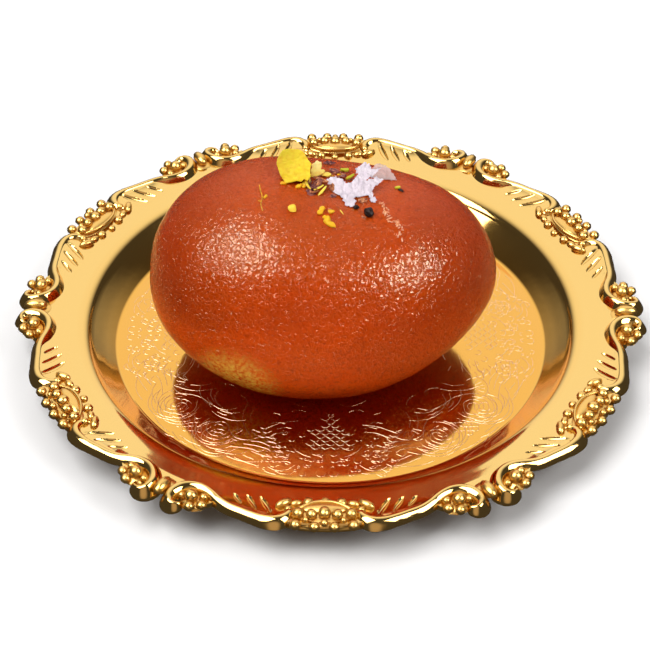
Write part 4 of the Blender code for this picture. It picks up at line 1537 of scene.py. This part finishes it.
@dataclass
class Softbox:
    """A studio light, marked by its direction from the tray."""

    name: str
    azimuth: float              # degrees from the back, towards +X
    height: float               # degrees above the floor
    size: tuple[float, float]   # metres across and up
    soft: float                 # brightness of the light it sheds on matt surfaces
    gleam: float                # brightness of its face in polished ones
    wet: float                  # brightness of its face in the sweet's wet skin
    distance: float = 1.3

    def lamp(self, kind: str, brightness: float, near: float) -> bpy.types.Object:
        """Hang one lamp and point it at the tray.

        Args:
            kind: Which of the light's lamps it is.
            brightness: Brightness of its face.
            near: Its distance and size as a share of the light's own.

        Returns:
            The lamp.
        """
        turn, rise = math.radians(self.azimuth), math.radians(self.height)
        way = Vector((math.sin(turn) * math.cos(rise), math.cos(turn) * math.cos(rise),
                      math.sin(rise)))
        lamp = bpy.data.lights.new(f"{self.name}_{kind}", "AREA")
        lamp.shape = "RECTANGLE"
        lamp.size, lamp.size_y = self.size[0] * near, self.size[1] * near
        lamp.energy = brightness * math.pi * lamp.size * lamp.size_y
        light = bpy.data.objects.new(lamp.name, lamp)
        bpy.context.scene.collection.objects.link(light)
        light.location = way * self.distance * near
        light.rotation_euler = way.to_track_quat("Z", "Y").to_euler()
        light.visible_camera = False
        light.visible_diffuse = kind == "soft"
        light.visible_glossy = kind != "soft"
        return light

    def dim_when_relayed(self, light: bpy.types.Object) -> None:
        """Dim a lamp where it is seen by way of another surface."""
        light.data.use_nodes = True
        tree = light.data.node_tree
        path = add_node(tree, "LightPath")
        again = add_node(tree, "Math", {"operation": "SUBTRACT", 1: 1.0},
                         {0: path.outputs["Glossy Depth"]})
        relayed = add_node(tree, "Math", {"operation": "MAXIMUM"},
                           {0: path.outputs["Diffuse Depth"], 1: again.outputs["Value"]})
        share = add_node(tree, "MapRange", {"To Min": 1.0, "To Max": 0.12},
                         {"Value": relayed.outputs["Value"]})
        tree.links.new(share.outputs["Result"], tree.nodes["Emission"].inputs["Strength"])

    def build(self) -> None:
        """Hang the light's three lamps."""
        self.lamp("soft", self.soft, 1.0)
        self.dim_when_relayed(self.lamp("gleam", self.gleam, 0.98))
        wet = self.lamp("wet", self.wet, 0.96)
        self.dim_when_relayed(wet)
        skin = bpy.data.collections.new(f"{self.name}_skin")
        skin.objects.link(bpy.data.objects["gulab_jamun_skin"])
        wet.light_linking.receiver_collection = skin


@dataclass
class Studio:
    """Plain white table, soft lights and the camera."""

    lights: tuple[Softbox, ...] = (
        Softbox("left_softbox", -118.0, 60.0, (0.95, 1.1), 4.6, 6.5, 47.0),
        Softbox("right_softbox", 114.0, 42.0, (0.65, 0.75), 4.1, 7.5, 60.0))
    elevation: float = 39.41
    turn: float = 1.03
    distance: float = 0.4159
    lens: float = 114.6
    shift: tuple[float, float] = (-0.0083, -0.0248)
    aim: float = 8.3            # height that the camera looks at, millimetres
    glow: float = 1.05          # light from the pale room behind the tray
    front: tuple[float, float, float] = (0.52, 0.41, 0.33)  # low down behind the viewer

    def floor(self) -> None:
        """Lay a pale seamless table."""
        floor = added("table", bpy.ops.mesh.primitive_plane_add, size=3.0,
                      location=(0.0, 0.0, 0.0))
        with edit_mode(floor):
            bpy.ops.mesh.subdivide(number_cuts=4)
        work_on(floor)
        material = bpy.data.materials.new("matt_white_table")
        material.use_nodes = True
        tree = material.node_tree
        shader = tree.nodes["Principled BSDF"]
        place = add_node(tree, "TexCoord").outputs["Object"]
        grain = add_node(tree, "TexNoise", {"Scale": 40.0, "Detail": 2.0}, {"Vector": place})
        tint = add_node(tree, "MixRGB", {"Color1": colour("FCFBFA"), "Color2": colour("FEFDFD")},
                        {"Fac": grain.outputs["Fac"]})
        tree.links.new(tint.outputs["Color"], shader.inputs["Base Color"])
        shader.inputs["Roughness"].default_value = 0.9
        shader.inputs["Specular IOR Level"].default_value = 0.1
        floor.data.materials.append(material)
        floor.visible_glossy = False

    def room(self) -> None:
        """Light the room: pale behind the tray, dim low down behind the viewer, dark else."""
        world = bpy.data.worlds.new("room")
        bpy.context.scene.world = world
        world.use_nodes = True
        tree = world.node_tree
        way = add_node(tree, "TexCoord").outputs["Generated"]
        behind = add_node(tree, "VectorMath", {"operation": "DOT_PRODUCT", 1: (0.0, 0.77, 0.64)},
                          {0: way})
        share = add_node(tree, "MapRange", {"From Min": 0.62, "From Max": 0.94,
                                            "interpolation_type": "SMOOTHSTEP"},
                         {"Value": behind.outputs["Value"]})
        tint = add_node(tree, "MixRGB", {"Color1": (0.06, 0.055, 0.05, 1.0),
                                         "Color2": (self.glow, self.glow, self.glow, 1.0)},
                        {"Fac": share.outputs["Result"]})
        facing = add_node(tree, "VectorMath", {"operation": "DOT_PRODUCT", 1: (0.0, -0.91, 0.41)},
                          {0: way})
        low = add_node(tree, "MapRange", {"From Min": 0.84, "From Max": 0.98, "To Max": 0.9,
                                          "interpolation_type": "SMOOTHSTEP"},
                       {"Value": facing.outputs["Value"]})
        both = add_node(tree, "MixRGB", {"Color2": (*self.front, 1.0)},
                        {"Fac": low.outputs["Result"], "Color1": tint.outputs["Color"]})
        path = add_node(tree, "LightPath")
        twice = add_node(tree, "Math", {"operation": "MULTIPLY"},
                         {0: path.outputs["Diffuse Depth"], 1: path.outputs["Glossy Depth"]})
        share = add_node(tree, "MapRange", {"To Min": 1.0, "To Max": 0.4},
                         {"Value": twice.outputs["Value"]})
        back = tree.nodes["Background"]
        tree.links.new(both.outputs["Color"], back.inputs["Color"])
        tree.links.new(share.outputs["Result"], back.inputs["Strength"])

    def camera(self) -> None:
        """Set the camera."""
        lens = bpy.data.cameras.new("camera")
        lens.lens = self.lens
        lens.sensor_width = 36.0
        lens.shift_x, lens.shift_y = self.shift
        lens.clip_start, lens.clip_end = 0.01, 20.0
        camera = bpy.data.objects.new("camera", lens)
        bpy.context.scene.collection.objects.link(camera)
        rise = math.radians(self.elevation)
        away = Matrix.Rotation(math.radians(self.turn), 3, "Z") @ Vector(
            (0.0, -math.cos(rise), math.sin(rise)))
        camera.location = away * self.distance + Vector((0.0, 0.0, self.aim * MM))
        camera.rotation_euler = away.to_track_quat("Z", "Y").to_euler()
        bpy.context.scene.camera = camera

    def build(self) -> None:
        """Set up the table, the lights and the camera."""
        self.floor()
        self.room()
        for light in self.lights:
            light.build()
        self.camera()
        bpy.context.scene.view_settings.view_transform = "Standard"


def main() -> None:
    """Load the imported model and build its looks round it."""
    logging.basicConfig(level=logging.INFO, format="%(message)s")
    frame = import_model()
    Tray().build()
    sweet = Sweet().build(frame["nodes"]["gulab_jamun"])
    Garnish(Crown.of(sweet)).build()
    Studio().build()


if __name__ == "__main__":
    main()
